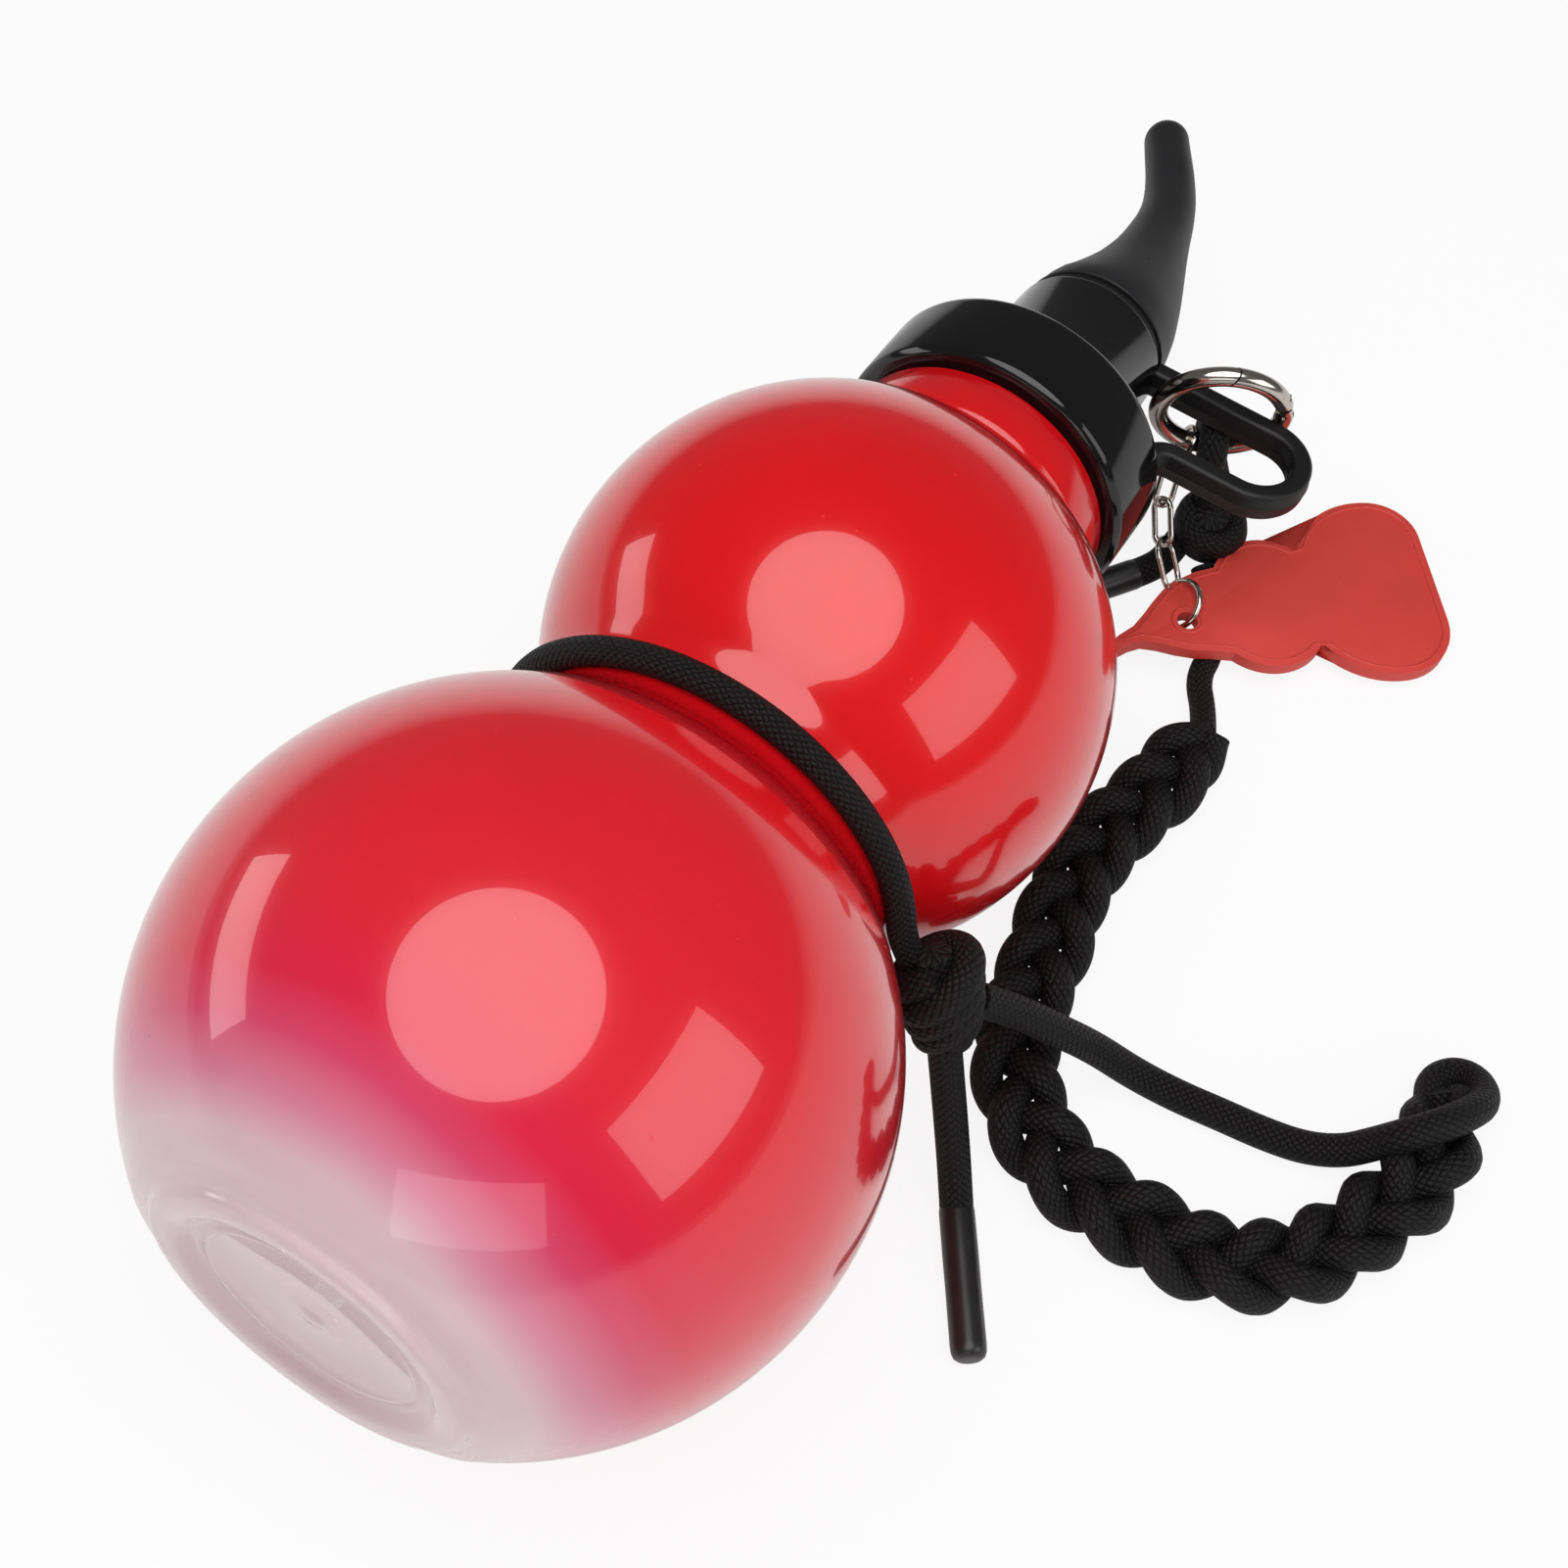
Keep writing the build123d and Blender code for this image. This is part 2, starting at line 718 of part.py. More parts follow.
waist_cord_along = waist_along - waist_cord_shift
waist_cord_radius = waist_center_radius - sqrt(
    (waist_blend - cord_radius - waist_clearance) ** 2 - waist_cord_shift**2
)
with BuildPart() as waist_cord:
    with BuildSketch(side):
        with Locations((waist_cord_along, waist_cord_radius)):
            Circle(cord_radius)
    revolve(axis=bottle_axis)
waist_cord.part.label = "waist_cord"
export_step(waist_cord.part, "parts/waist_cord.step")

waist_knot = knot("waist_knot", waist_knot_center)
top_knot = knot("top_knot", top_knot_center)
tail = cord_tube("tail", tail_points)
free_stretch = cord_tube("free_stretch", free_points)
upper_stretch = cord_tube("upper_stretch", upper_points)
upper_tail = cord_tube("upper_tail", upper_tail_points)
tail_sleeve = cord_end("tail_sleeve", tail_points[-1], tail_aim, cord_end_length)
upper_tail_sleeve = cord_end("upper_tail_sleeve", upper_tail_points[-1], upper_tail_aim, short_end_length)

# Hitch: the cord's bight over the ring's wire, both legs drawn down into the top knot
hitch_reach = ring_wire + cord_radius + fit_gap
hitch_center = ring_point(hitch_angle)
hitch_up = (ring_plane.origin - hitch_center).normalized()
front_leg = ring_facing * hitch_reach
hitch_points = [
    top_knot_center + Vector(hitch_start_offset),
    hitch_center + front_leg * hitch_spread - hitch_up * hitch_drop,
    hitch_center + front_leg + hitch_up * hitch_reach,
    hitch_center - front_leg + hitch_up * hitch_reach,
    hitch_center - front_leg * hitch_spread - hitch_up * hitch_drop,
    top_knot_center + Vector(hitch_end_offset),
]
hitch = cord_tube("hitch", hitch_points, hitch_share)

# Braid: the doubled cord chained into a flat band, as its outer shape
braid_radii = cord_radii(braid_points)
with BuildPart() as braid:
    with BuildLine():
        braid_route = FilletPolyline(*braid_points, radius=braid_radii)
    braid_across = (braid_route % 0).cross(Vector(0, 0, 1))
    with BuildSketch(Plane(braid_route @ 0, x_dir=braid_across, z_dir=braid_route % 0)):
        Ellipse(braid_width / 2, braid_height / 2)
    sweep()
print("braid radii", [round(r, 1) for r in braid_radii])
braid.part.label = "braid"
export_step(braid.part, "parts/braid.step")
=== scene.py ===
"""Gourd-shaped drinking bottle with a horn stopper, a ring clip, a tag and a braided lanyard."""

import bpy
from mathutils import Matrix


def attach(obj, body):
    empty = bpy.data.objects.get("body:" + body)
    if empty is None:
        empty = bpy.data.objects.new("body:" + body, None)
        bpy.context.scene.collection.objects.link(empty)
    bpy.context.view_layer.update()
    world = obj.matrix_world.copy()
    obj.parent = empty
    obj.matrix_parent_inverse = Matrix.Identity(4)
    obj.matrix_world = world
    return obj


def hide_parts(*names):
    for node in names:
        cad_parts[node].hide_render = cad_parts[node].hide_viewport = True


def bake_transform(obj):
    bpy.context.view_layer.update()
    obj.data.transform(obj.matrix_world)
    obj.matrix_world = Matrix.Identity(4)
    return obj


bl_info = {
    "name": "Gourd bottle",
    "version": (1, 0, 0),
    "blender": (4, 5, 0),
    "location": "3D View > Sidebar > Gourd bottle",
    "description": "Builds a gourd water bottle with its lid, stopper, ring and lanyard",
    "category": "Object",
}

from math import acos, asin, atan2, cos, degrees, exp, pi, radians, sin, sqrt, tau

import bpy
from bpy.props import EnumProperty, FloatProperty, FloatVectorProperty, IntProperty, PointerProperty
from mathutils import Matrix, Vector

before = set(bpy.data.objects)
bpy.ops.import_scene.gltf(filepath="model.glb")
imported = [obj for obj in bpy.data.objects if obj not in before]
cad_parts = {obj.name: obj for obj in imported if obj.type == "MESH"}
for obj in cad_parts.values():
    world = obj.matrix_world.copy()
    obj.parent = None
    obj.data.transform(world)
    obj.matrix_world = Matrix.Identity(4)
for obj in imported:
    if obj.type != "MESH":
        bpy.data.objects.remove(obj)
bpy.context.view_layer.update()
bpy.ops.object.select_all(action="DESELECT")

MM = 0.001
# Points nearer than this are one point
WELD = 0.002 * MM

# The bottle's axis, which sinks towards the mouth, and the way that the strap leaves it
LOWER_CENTER = 43.9
BULB_SPACING = 78.5
TILT = asin(7.9 / BULB_SPACING)
UP_AXIS = Vector((0, cos(TILT), -sin(TILT)))
OUT_AXIS = Vector((0, sin(TILT), cos(TILT)))
FOOT = Vector((0, -LOWER_CENTER * cos(TILT), 50 + LOWER_CENTER * sin(TILT))) * MM
STRAP_OUT = Vector((cos(radians(5)), 0, 0)) - OUT_AXIS * sin(radians(5))

# The cord's routes over the table and in the air, in millimetres
TAIL_ROUTE = [
    (40.6, 41.6, 31.5), (42.8, 39.7, 23.0), (46.1, 36.2, 14.5), (48.9, 33.2, 6.6), (51.4, 29.8, 2.65),
]
FREE_ROUTE = [
    (43.0, 46.8, 32.6), (46.8, 50.6, 27.0), (52.0, 54.4, 20.0), (57.4, 59.2, 11.0), (63.6, 61.6, 4.6),
    (70.6, 62.6, 2.6), (77.5, 63.3, 2.52), (84.3, 63.8, 2.52), (90.6, 64.8, 2.7), (95.6, 66.6, 4.0),
    (99.1, 68.8, 6.6), (101.8, 69.9, 10.2), (104.7, 72.4, 11.4), (107.3, 75.7, 11.2), (109.4, 79.8, 9.2),
    (110.1, 83.0, 6.6), (109.4, 86.0, 4.6), (107.2, 87.9, 3.2), (104.6, 87.6, 2.7), (102.8, 85.6, 2.7),
    (102.5, 82.8, 3.0), (103.7, 80.4, 3.6),
]
BRAID_ROUTE = [(x, y, 4.65) for x, y in (
    (46.4, 121.5), (45.2, 110.5), (41.2, 97.5), (40.4, 84.5), (43.6, 72.0), (44.6, 60.0), (50.6, 48.6),
    (62.2, 41.4), (75.2, 40.6), (88.2, 40.6), (98.6, 48.0), (104.2, 59.6), (108.6, 71.2), (104.8, 82.2),
)]
UPPER_ROUTE = [
    (46.3, 121.0, 4.3), (43.9, 127.0, 2.5), (39.8, 132.8, 2.15), (39.6, 139.2, 2.15), (36.0, 146.6, 2.2),
    (31.0, 152.6, 4.2),
]
UPPER_TAIL_ROUTE = [(25.0, 155.4, 5.4), (24.4, 151.6, 3.8), (22.9, 149.0, 2.8), (21.2, 146.7, 2.65)]
CORD_STEP = 0.6 * MM
BAND_WIDTH = 0.013
# The stretch under the tag is drawn thinner, so that the tag and chain swing clear of it
UPPER_RADIUS = 2.15 * MM
WAIST_KNOT = Vector((39.6, 42.9, 35.9)) * MM
TOP_KNOT = Vector((28.8, 158.6, 8.4)) * MM
RING_CENTER = Vector((25.3, 161.2, 32.6)) * MM
RING_FACING = Vector((0.430337527, -0.89019593, -0.149535343))
RING_LEVEL = Vector((cos(radians(25.8)), sin(radians(25.8)), 0))
TAG_HOLE = Vector((34.2, 139.0, 7.4)) * MM

# The horn's curve as shares of its length: along, towards the strap, and width as a share of its base
HORN_CURVE = [
    (0.0, 0.004, 0.925), (0.02, 0.004, 0.935), (0.09, 0.013, 0.868), (0.215, 0.012, 0.695),
    (0.31, 0.004, 0.578), (0.394, -0.007, 0.488), (0.47, -0.020, 0.425), (0.55, -0.034, 0.376),
    (0.62, -0.052, 0.348), (0.684, -0.076, 0.330), (0.776, -0.121, 0.311), (0.853, -0.166, 0.299),
    (0.908, -0.197, 0.290),
]


def Length(name, description, default):
    return FloatProperty(name=name, description=description, default=default, unit="LENGTH")


def Color(name, description, default):
    return FloatVectorProperty(name=name, description=description, default=default, subtype="COLOR")


class BottleSettings(bpy.types.PropertyGroup):
    lower_radius: Length("Lower bulb", "Outer radius of the lower bulb", 0.05)
    upper_radius: Length("Upper bulb", "Outer radius of the upper bulb", 0.0421)
    wall: Length("Wall", "Wall thickness of the blown shell", 0.002)
    waist_blend: Length("Waist", "Radius of the hollow between the bulbs", 0.010)
    steps: IntProperty(name="Steps", description="Facets round the axis", default=160, min=24)
    foot_tint: Color("Foot tint", "Colour of the shell at its foot", (0.96, 0.76, 0.81))
    middle_tint: Color("Middle tint", "Colour in the middle of the lower bulb", (0.94, 0.024, 0.088))
    top_tint: Color("Top tint", "Colour from the waist to the neck", (0.97, 0.006, 0.012))


class CapSettings(bpy.types.PropertyGroup):
    lid_radius: Length("Lid", "Outer radius of the lid's skirt", 0.0246)
    collar_radius: Length("Collar", "Radius at the foot of the spout's collar", 0.0144)
    thread_pitch: Length("Pitch", "Rise of the screw thread in a turn", 0.004)
    horn_length: Length("Horn", "Length of the curved stopper", 0.058)
    horn_base: Length("Horn base", "Radius of the stopper where it meets the spout", 0.0137)
    plastic: Color("Plastic", "Colour of the glossy lid", (0.0045, 0.0045, 0.005))
    silicone: Color("Silicone", "Colour of the horn and strap", (0.0095, 0.0095, 0.0105))


class ClipSettings(bpy.types.PropertyGroup):
    nickel: Color("Nickel", "Colour of the plated ring and chain", (0.66, 0.60, 0.54))
    tag_thickness: Length("Tag", "Thickness of the gourd tag", 0.0024)
    tag_line: Length("Tag line", "Height of the line moulded near the tag's edge", 0.00022)
    tag_color: Color("Tag colour", "Colour of the soft tag", (0.71, 0.058, 0.042))


class LanyardSettings(bpy.types.PropertyGroup):
    cord_radius: Length("Cord", "Radius of the round cord", 0.0025)
    plait_period: Length("Plait", "Length in which a strand crosses over and back", 0.0276)
    plait_reach: Length("Plait reach", "How far a strand swings to each side", 0.0044)
    plait_lift: Length("Plait lift", "How far a strand rises over its neighbour", 0.0021)
    sheath: Color("Sheath", "Colour of the cord's woven sheath", (0.0045, 0.0042, 0.0045))


class StageSettings(bpy.types.PropertyGroup):
    floor_size: Length("Floor", "Width of the table", 6.0)
    floor_color: Color("Floor colour", "Colour of the pale table", (0.88, 0.88, 0.88))
    key_watts: FloatProperty(
        name="Key lamp", description="Power of the round soft box overhead", default=8.3, unit="POWER")
    room: FloatProperty(name="Room", description="Brightness of the studio's walls", default=0.14, min=0)
    shadow: EnumProperty(
        name="Shadow", description="How strongly the table shows the shadow",
        items=[("SOFT", "Soft", "Half of the shadow"), ("FULL", "Full", "The whole shadow")], default="SOFT")


# Working in Blender

def deselect():
    if bpy.context.object and bpy.context.object.mode != "OBJECT":
        bpy.ops.object.mode_set(mode="OBJECT")
    bpy.ops.object.select_all(action="DESELECT")


def pick(obj):
    deselect()
    obj.select_set(True)
    bpy.context.view_layer.objects.active = obj


def named(name):
    obj = bpy.context.object
    obj.name = name
    obj.data.name = name
    return obj


def select_all():
    bpy.ops.mesh.select_all(action="SELECT")


def weld():
    """In edit mode, merge the points that lie in one place and leave everything selected."""
    select_all()
    bpy.ops.mesh.remove_doubles(threshold=WELD)
    select_all()


def face_outwards():
    """Turn every face of the mesh outwards, and leave edit mode."""
    select_all()
    bpy.ops.mesh.normals_make_consistent(inside=False)
    bpy.ops.object.mode_set(mode="OBJECT")


def smooth(angle):
    bpy.ops.object.shade_smooth_by_angle(angle=radians(angle))


def settle(obj, angle=35):
    """Bring the place into the mesh and shade its gentle edges smooth."""
    pick(obj)
    bpy.ops.object.transform_apply(location=True, rotation=True, scale=True)
    smooth(angle)


def join(name, parts):
    pick(parts[0])
    for part in parts:
        part.select_set(True)
    bpy.ops.object.join()
    return named(name)


def apply_modifiers(obj):
    pick(obj)
    for modifier in list(obj.modifiers):
        bpy.ops.object.modifier_apply(modifier=modifier.name)


def give(obj, material):
    obj.data.materials.clear()
    obj.data.materials.append(material)


def paint(node, material):
    """Give a CAD node, which keeps its shape, a material."""
    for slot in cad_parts[node].material_slots:
        slot.material = material


def place(along, out, way=OUT_AXIS):
    """The point this far along the bottle's axis from its foot and this far out, in millimetres."""
    return FOOT + (UP_AXIS * along + way * out) * MM


def arc(center, radius, start, end, count):
    """Points on an arc as (along, out), with the angles in degrees."""
    turns = [radians(start + (end - start) * i / count) for i in range(count + 1)]
    return [(center[0] + radius * cos(t), center[1] + radius * sin(t)) for t in turns]


def draw_line(points):
    """A chain of edges, extruded point by point from one vertex, left in edit mode and selected."""
    deselect()
    bpy.ops.mesh.primitive_plane_add(size=0.0001, location=points[0])
    obj = bpy.context.object
    bpy.ops.object.transform_apply(location=True)
    bpy.ops.object.mode_set(mode="EDIT")
    select_all()
    bpy.ops.mesh.merge(type="CENTER")
    for before, after in zip(points, points[1:]):
        bpy.ops.mesh.extrude_region_move(TRANSFORM_OT_translate={"value": after - before})
    select_all()
    return obj


def revolve(name, points, steps, center=FOOT, axis=UP_AXIS):
    """A skin made by spinning a line of points all the way round an axis."""
    draw_line(points)
    bpy.ops.mesh.spin(steps=steps, angle=tau, center=center, axis=axis)
    weld()
    face_outwards()
    return named(name)


def lathe(name, outline, steps):
    """Spin an outline of (along, out) in millimetres about the bottle's axis."""
    return revolve(name, [place(along, out) for along, out in outline], steps)


# Cords

def fill_spline(data, points):
    """One NURBS spline through control points in metres, from the first to the last."""
    spline = data.splines.new("NURBS")
    spline.points.add(len(points) - 1)
    for control, point in zip(spline.points, points):
        control.co = (*point, 1)
    spline.order_u = 3
    spline.use_endpoint_u = True
    return spline


def read_route(points):
    """The smooth line of a cord's route, read from its NURBS spline."""
    data = bpy.data.curves.new("route", "CURVE")
    data.dimensions = "3D"
    data.resolution_u = 16
    fill_spline(data, [Vector(point) * MM for point in points])
    holder = bpy.data.objects.new("route", data)
    bpy.context.collection.objects.link(holder)
    bpy.context.view_layer.update()
    mesh = bpy.data.meshes.new_from_object(holder)
    line = [vertex.co.copy() for vertex in mesh.vertices]
    bpy.data.objects.remove(holder)
    bpy.data.meshes.remove(mesh)
    return line


def line_length(line):
    return sum((b - a).length for a, b in zip(line, line[1:]))


def even(line, step):
    """The same line in steps of one length."""
    total = line_length(line)
    count = max(2, round(total / step))
    result = []
    walked = 0.0
    index = 0
    for i in range(count + 1):
        goal = total * i / count
        while index < len(line) - 2 and walked + (line[index + 1] - line[index]).length < goal:
            walked += (line[index + 1] - line[index]).length
            index += 1
        run = line[index + 1] - line[index]
        share = (goal - walked) / run.length if run.length > 0 else 0
        result.append(line[index] + run * min(max(share, 0), 1))
    return result


def tube(name, line, radius, sides=20, closed=False, start_normal=None):
    """A round cord along a line, with UV: turns round it, and millimetres along it."""
    count = len(line)
    tangents = []
    for i in range(count):
        before = line[i - 1] if closed else line[max(i - 1, 0)]
        after = line[(i + 1) % count] if closed else line[min(i + 1, count - 1)]
        tangents.append((after - before).normalized())
    across = start_normal or tangents[0].orthogonal()
    vertices = []
    for point, tangent in zip(line, tangents):
        across = (across - tangent * across.dot(tangent)).normalized()
        other = tangent.cross(across)
        for k in range(sides):
            turn = tau * k / sides
            vertices.append(point + (across * cos(turn) + other * sin(turn)) * radius)
    faces = []
    uvs = []
    along = 0.0
    for i in range(count if closed else count - 1):
        j = (i + 1) % count
        step = (line[j] - line[i]).length / MM
        for k in range(sides):
            m = (k + 1) % sides
            faces.append((i * sides + k, i * sides + m, j * sides + m, j * sides + k))
            left, right = k / sides, (k + 1) / sides
            uvs += [(left, along), (right, along), (right, along + step), (left, along + step)]
        along += step
    if not closed:
        bulge = radius * 0.35
        for ring, order in ((0, -1), (count - 1, 1)):
            tip = len(vertices)
            vertices.append(line[ring] + tangents[ring] * bulge * order)
            for k in range(sides):
                a, b = ring * sides + k, ring * sides + (k + 1) % sides
                faces.append((b, a, tip) if order < 0 else (a, b, tip))
                uvs += [(k / sides, 0), ((k + 1) / sides, 0), ((k + 0.5) / sides, 1)]
    mesh = bpy.data.meshes.new(name)
    mesh.from_pydata(vertices, [], faces)
    layer = mesh.uv_layers.new(name="cord")
    for data, uv in zip(layer.data, uvs):
        data.uv = uv
    obj = bpy.data.objects.new(name, mesh)
    bpy.context.collection.objects.link(obj)
    pick(obj)
    smooth(60)
    return obj


# Nodes

def add(tree, kind, links=(), **values):
    """A node with its settings, and its inputs set or linked by name or number."""
    node = tree.nodes.new(kind)
    for key, value in values.items():
        setattr(node, key, value)
    for socket, source in dict(links).items():
        if isinstance(source, bpy.types.NodeSocket):
            tree.links.new(source, node.inputs[socket])
        else:
            node.inputs[socket].default_value = source
    return node


def math(tree, operation, first, second=0.0, third=0.0):
    return add(tree, "ShaderNodeMath", {0: first, 1: second, 2: third}, operation=operation).outputs[0]


def noise(tree, where, scale, detail, roughness=0.5):
    inputs = {"Vector": where, "Scale": scale, "Detail": detail, "Roughness": roughness}
    return add(tree, "ShaderNodeTexNoise", inputs).outputs[0]


def between(tree, value, low, high, first=0.0, last=1.0):
    """A value that goes from first to last while another goes from low to high."""
    inputs = {"Value": value, "From Min": low, "From Max": high, "To Min": first, "To Max": last}
    return add(tree, "ShaderNodeMapRange", inputs).outputs[0]


def tint(tree, factor, dark, light):
    """A mix of two colours by a factor."""
    colors = {0: factor, 6: (*dark, 1), 7: (*light, 1)}
    return add(tree, "ShaderNodeMix", colors, data_type="RGBA").outputs[2]


def bump(tree, height, strength, distance):
    """A normal from a height, whose distance is in millimetres."""
    inputs = {"Height": height, "Strength": strength, "Distance": distance * MM}
    return add(tree, "ShaderNodeBump", inputs).outputs[0]


def group_tree(name, inputs, outputs):
    """An empty node group for a Vector and numbers, which puts out numbers, and its input sockets."""
    tree = bpy.data.node_groups.new(name, "ShaderNodeTree")
    tree.interface.new_socket("Vector", in_out="INPUT", socket_type="NodeSocketVector")
    for label, default in inputs.items():
        socket = tree.interface.new_socket(label, in_out="INPUT", socket_type="NodeSocketFloat")
        socket.default_value = default
    for label in outputs:
        tree.interface.new_socket(label, in_out="OUTPUT", socket_type="NodeSocketFloat")
    return tree, tree.nodes.new("NodeGroupInput").outputs


def handling_marks(name):
    """Smudges, fine scratches and settled dust, for anything that is carried about."""
    tree, source = group_tree(
        name, {"Smudge size": 60.0, "Base": 0.1, "Spread": 0.05}, ("Roughness", "Dust", "Height"))
    where = source["Vector"]
    smudge = noise(tree, where, source["Smudge size"], 4.0, 0.62)
    stretched = add(tree, "ShaderNodeMapping",
                    {"Vector": where, "Rotation": (0.4, 0.9, 0.3), "Scale": (1, 14, 9)}).outputs[0]
    fine = between(tree, noise(tree, stretched, 130.0, 2.0), 0.66, 0.74)
    cells = add(tree, "ShaderNodeTexVoronoi", {"Vector": where, "Scale": 260.0, "Randomness": 1.0})
    speck = between(tree, cells.outputs["Distance"], 0.05, 0.09, 1.0, 0.0)
    few = between(tree, noise(tree, where, 90.0, 1.0), 0.56, 0.66)
    dust = math(tree, "MULTIPLY", speck, few)
    rough = math(tree, "MULTIPLY_ADD", smudge, source["Spread"], source["Base"])
    rough = math(tree, "MULTIPLY_ADD", fine, 0.04, rough)
    rough = math(tree, "MULTIPLY_ADD", dust, 0.3, rough)
    height = math(tree, "MULTIPLY_ADD", fine, -0.3, dust)
    add(tree, "NodeGroupOutput", {"Roughness": rough, "Dust": dust, "Height": height})
    return tree


def moulded_grain(name):
    """The fine tooth of a moulded matte skin, over a slow unevenness."""
    tree, source = group_tree(name, {"Grain size": 2600.0, "Wave size": 70.0}, ("Height", "Tone"))
    grain = noise(tree, source["Vector"], source["Grain size"], 2.0)
    wave = noise(tree, source["Vector"], source["Wave size"], 3.0)
    height = math(tree, "MULTIPLY_ADD", grain, 0.35, wave)
    add(tree, "NodeGroupOutput", {"Height": height, "Tone": wave})
    return tree


def woven_sheath(name):
    """Diagonal strands of a braided cord, over and under in turn. Reads the cord's own UV. Its Tone is
    painted light: lighter on the raised strands and darker in the hollows where they dip under, over a
    random fuzz.
    """
    tree, source = group_tree(name, {"Strands": 12.0, "Pick length": 1.25}, ("Height", "Tone"))
    split = add(tree, "ShaderNodeSeparateXYZ", {0: source["Vector"]})
    round_it = math(tree, "MULTIPLY", split.outputs[0], source["Strands"])
    along = math(tree, "DIVIDE", split.outputs[1], source["Pick length"])
    right = math(tree, "ADD", round_it, along)
    left = math(tree, "SUBTRACT", round_it, along)
    ridges = []
    for way in (right, left):
        centred = math(tree, "MULTIPLY_ADD", math(tree, "FRACT", way), 2.0, -1.0)
        ridges.append(math(tree, "SUBTRACT", 1.0, math(tree, "MULTIPLY", centred, centred)))
    cells = math(tree, "ADD", math(tree, "FLOOR", right), math(tree, "FLOOR", left))
    over = math(tree, "MODULO", math(tree, "ABSOLUTE", cells), 2.0)
    upper = add(tree, "ShaderNodeMix", {0: over, 2: ridges[0], 3: ridges[1]}).outputs[0]
    under = add(tree, "ShaderNodeMix", {0: over, 2: ridges[1], 3: ridges[0]}).outputs[0]
    height = math(tree, "MULTIPLY", upper, math(tree, "POWER", under, 0.4))
    fuzz = noise(tree, source["Vector"], 9.0, 3.0)
    # Painted highlight on the raised strands and painted shade in the hollows between them, over a random
    # fuzz
    tone = math(tree, "MULTIPLY_ADD", height, 0.75, math(tree, "MULTIPLY", fuzz, 0.5))
    add(tree, "NodeGroupOutput", {"Height": math(tree, "MULTIPLY_ADD", fuzz, 0.12, height), "Tone": tone})
    return tree


def use_group(tree, name, make, links):
    """The outputs of a node group in a material. The group is built when it is first used."""
    group = bpy.data.node_groups.get(name) or make(name)
    return add(tree, "ShaderNodeGroup", links, node_tree=group).outputs


def marks_on(tree, where, size, base, spread):
    """Handling marks with smudges of a size, over a base roughness."""
    return use_group(tree, "Handling marks", handling_marks,
                     {"Vector": where, "Smudge size": size, "Base": base, "Spread": spread})


def grain_on(tree, where, size, wave):
    return use_group(tree, "Moulded grain", moulded_grain,
                     {"Vector": where, "Grain size": size, "Wave size": wave})


# Materials

def empty(name):
    material = bpy.data.materials.new(name)
    material.use_nodes = True
    material.node_tree.nodes.clear()
    return material, material.node_tree


def blank(name):
    """A new material, its tree, and the place on the object."""
    material, tree = empty(name)
    return material, tree, add(tree, "ShaderNodeTexCoord").outputs["Object"]


def surface(tree, inputs):
    """The shader with its inputs, on the material's output."""
    shader = add(tree, "ShaderNodeBsdfPrincipled", inputs)
    add(tree, "ShaderNodeOutputMaterial", {"Surface": shader.outputs[0]})


def scaled(color, factor):
    return tuple(value * factor for value in color)


def shell_material(settings):
    """Clear plastic dyed from a pale foot to a deep red neck, under a hard gloss."""
    material, tree, where = blank("tinted shell")
    along = add(tree, "ShaderNodeVectorMath", {0: where, 1: tuple(UP_AXIS)}, operation="DOT_PRODUCT")
    wander = math(tree, "MULTIPLY_ADD", noise(tree, where, 14.0, 2.0), 0.008, along.outputs["Value"])
    start = UP_AXIS.dot(FOOT)
    ramp = add(tree, "ShaderNodeValToRGB", {"Fac": between(tree, wander, start + 0.008, start + 0.119)})
    stops = ramp.color_ramp.elements
    stops[0].position, stops[0].color = 0.0, (*settings.foot_tint, 1)
    stops[1].position, stops[1].color = 0.80, (*settings.top_tint, 1)
    for position, color in ((0.035, (0.93, 0.36, 0.50)), (0.08, (0.91, 0.095, 0.23)),
                            (0.13, settings.middle_tint), (0.22, (0.97, 0.026, 0.054))):
        stops.new(position).color = (*color, 1)
    marks = marks_on(tree, where, 26.0, 0.16, 0.05)
    surface(tree, {
        "Base Color": ramp.outputs[0], "Roughness": marks["Roughness"],
        "Normal": bump(tree, marks["Height"], 0.05, 0.05), "Transmission Weight": 0.45, "IOR": 1.5,
        "Specular IOR Level": 0.1, "Coat Weight": 0.87, "Coat Roughness": 0.012, "Coat IOR": 1.5})
    return material


def skin(name, dark, light, relief, marks=None, grain=None, patch=None, **constants):
    """A material that goes from dark to light over its grain, its patches or its dust.

    The relief is a bump's strength and distance, and a constant's name has _ for each blank.
    """
    material, tree, where = blank(name)
    inputs = {label.replace("_", " "): value for label, value in constants.items()}
    if marks:
        worn = marks_on(tree, where, *marks)
        tone, height, inputs["Roughness"] = worn["Dust"], worn["Height"], worn["Roughness"]
    if patch:
        tone = noise(tree, where, *patch)
    if grain:
        moulded = grain_on(tree, where, *grain)
        tone, height = moulded["Tone"], moulded["Height"]
    inputs["Base Color"] = tint(tree, tone, dark, light)
    inputs["Normal"] = bump(tree, height, *relief)
    surface(tree, inputs)
    return material


def silicone_material(settings, name="matte black silicone", depth=1.0):
    base = scaled(settings.silicone, depth)
    return skin(name, base, scaled(base, 2.4), (0.16, 0.12), marks=(50.0, 0.40, 0.12), grain=(2400.0, 90.0),
                Specular_IOR_Level=0.38)


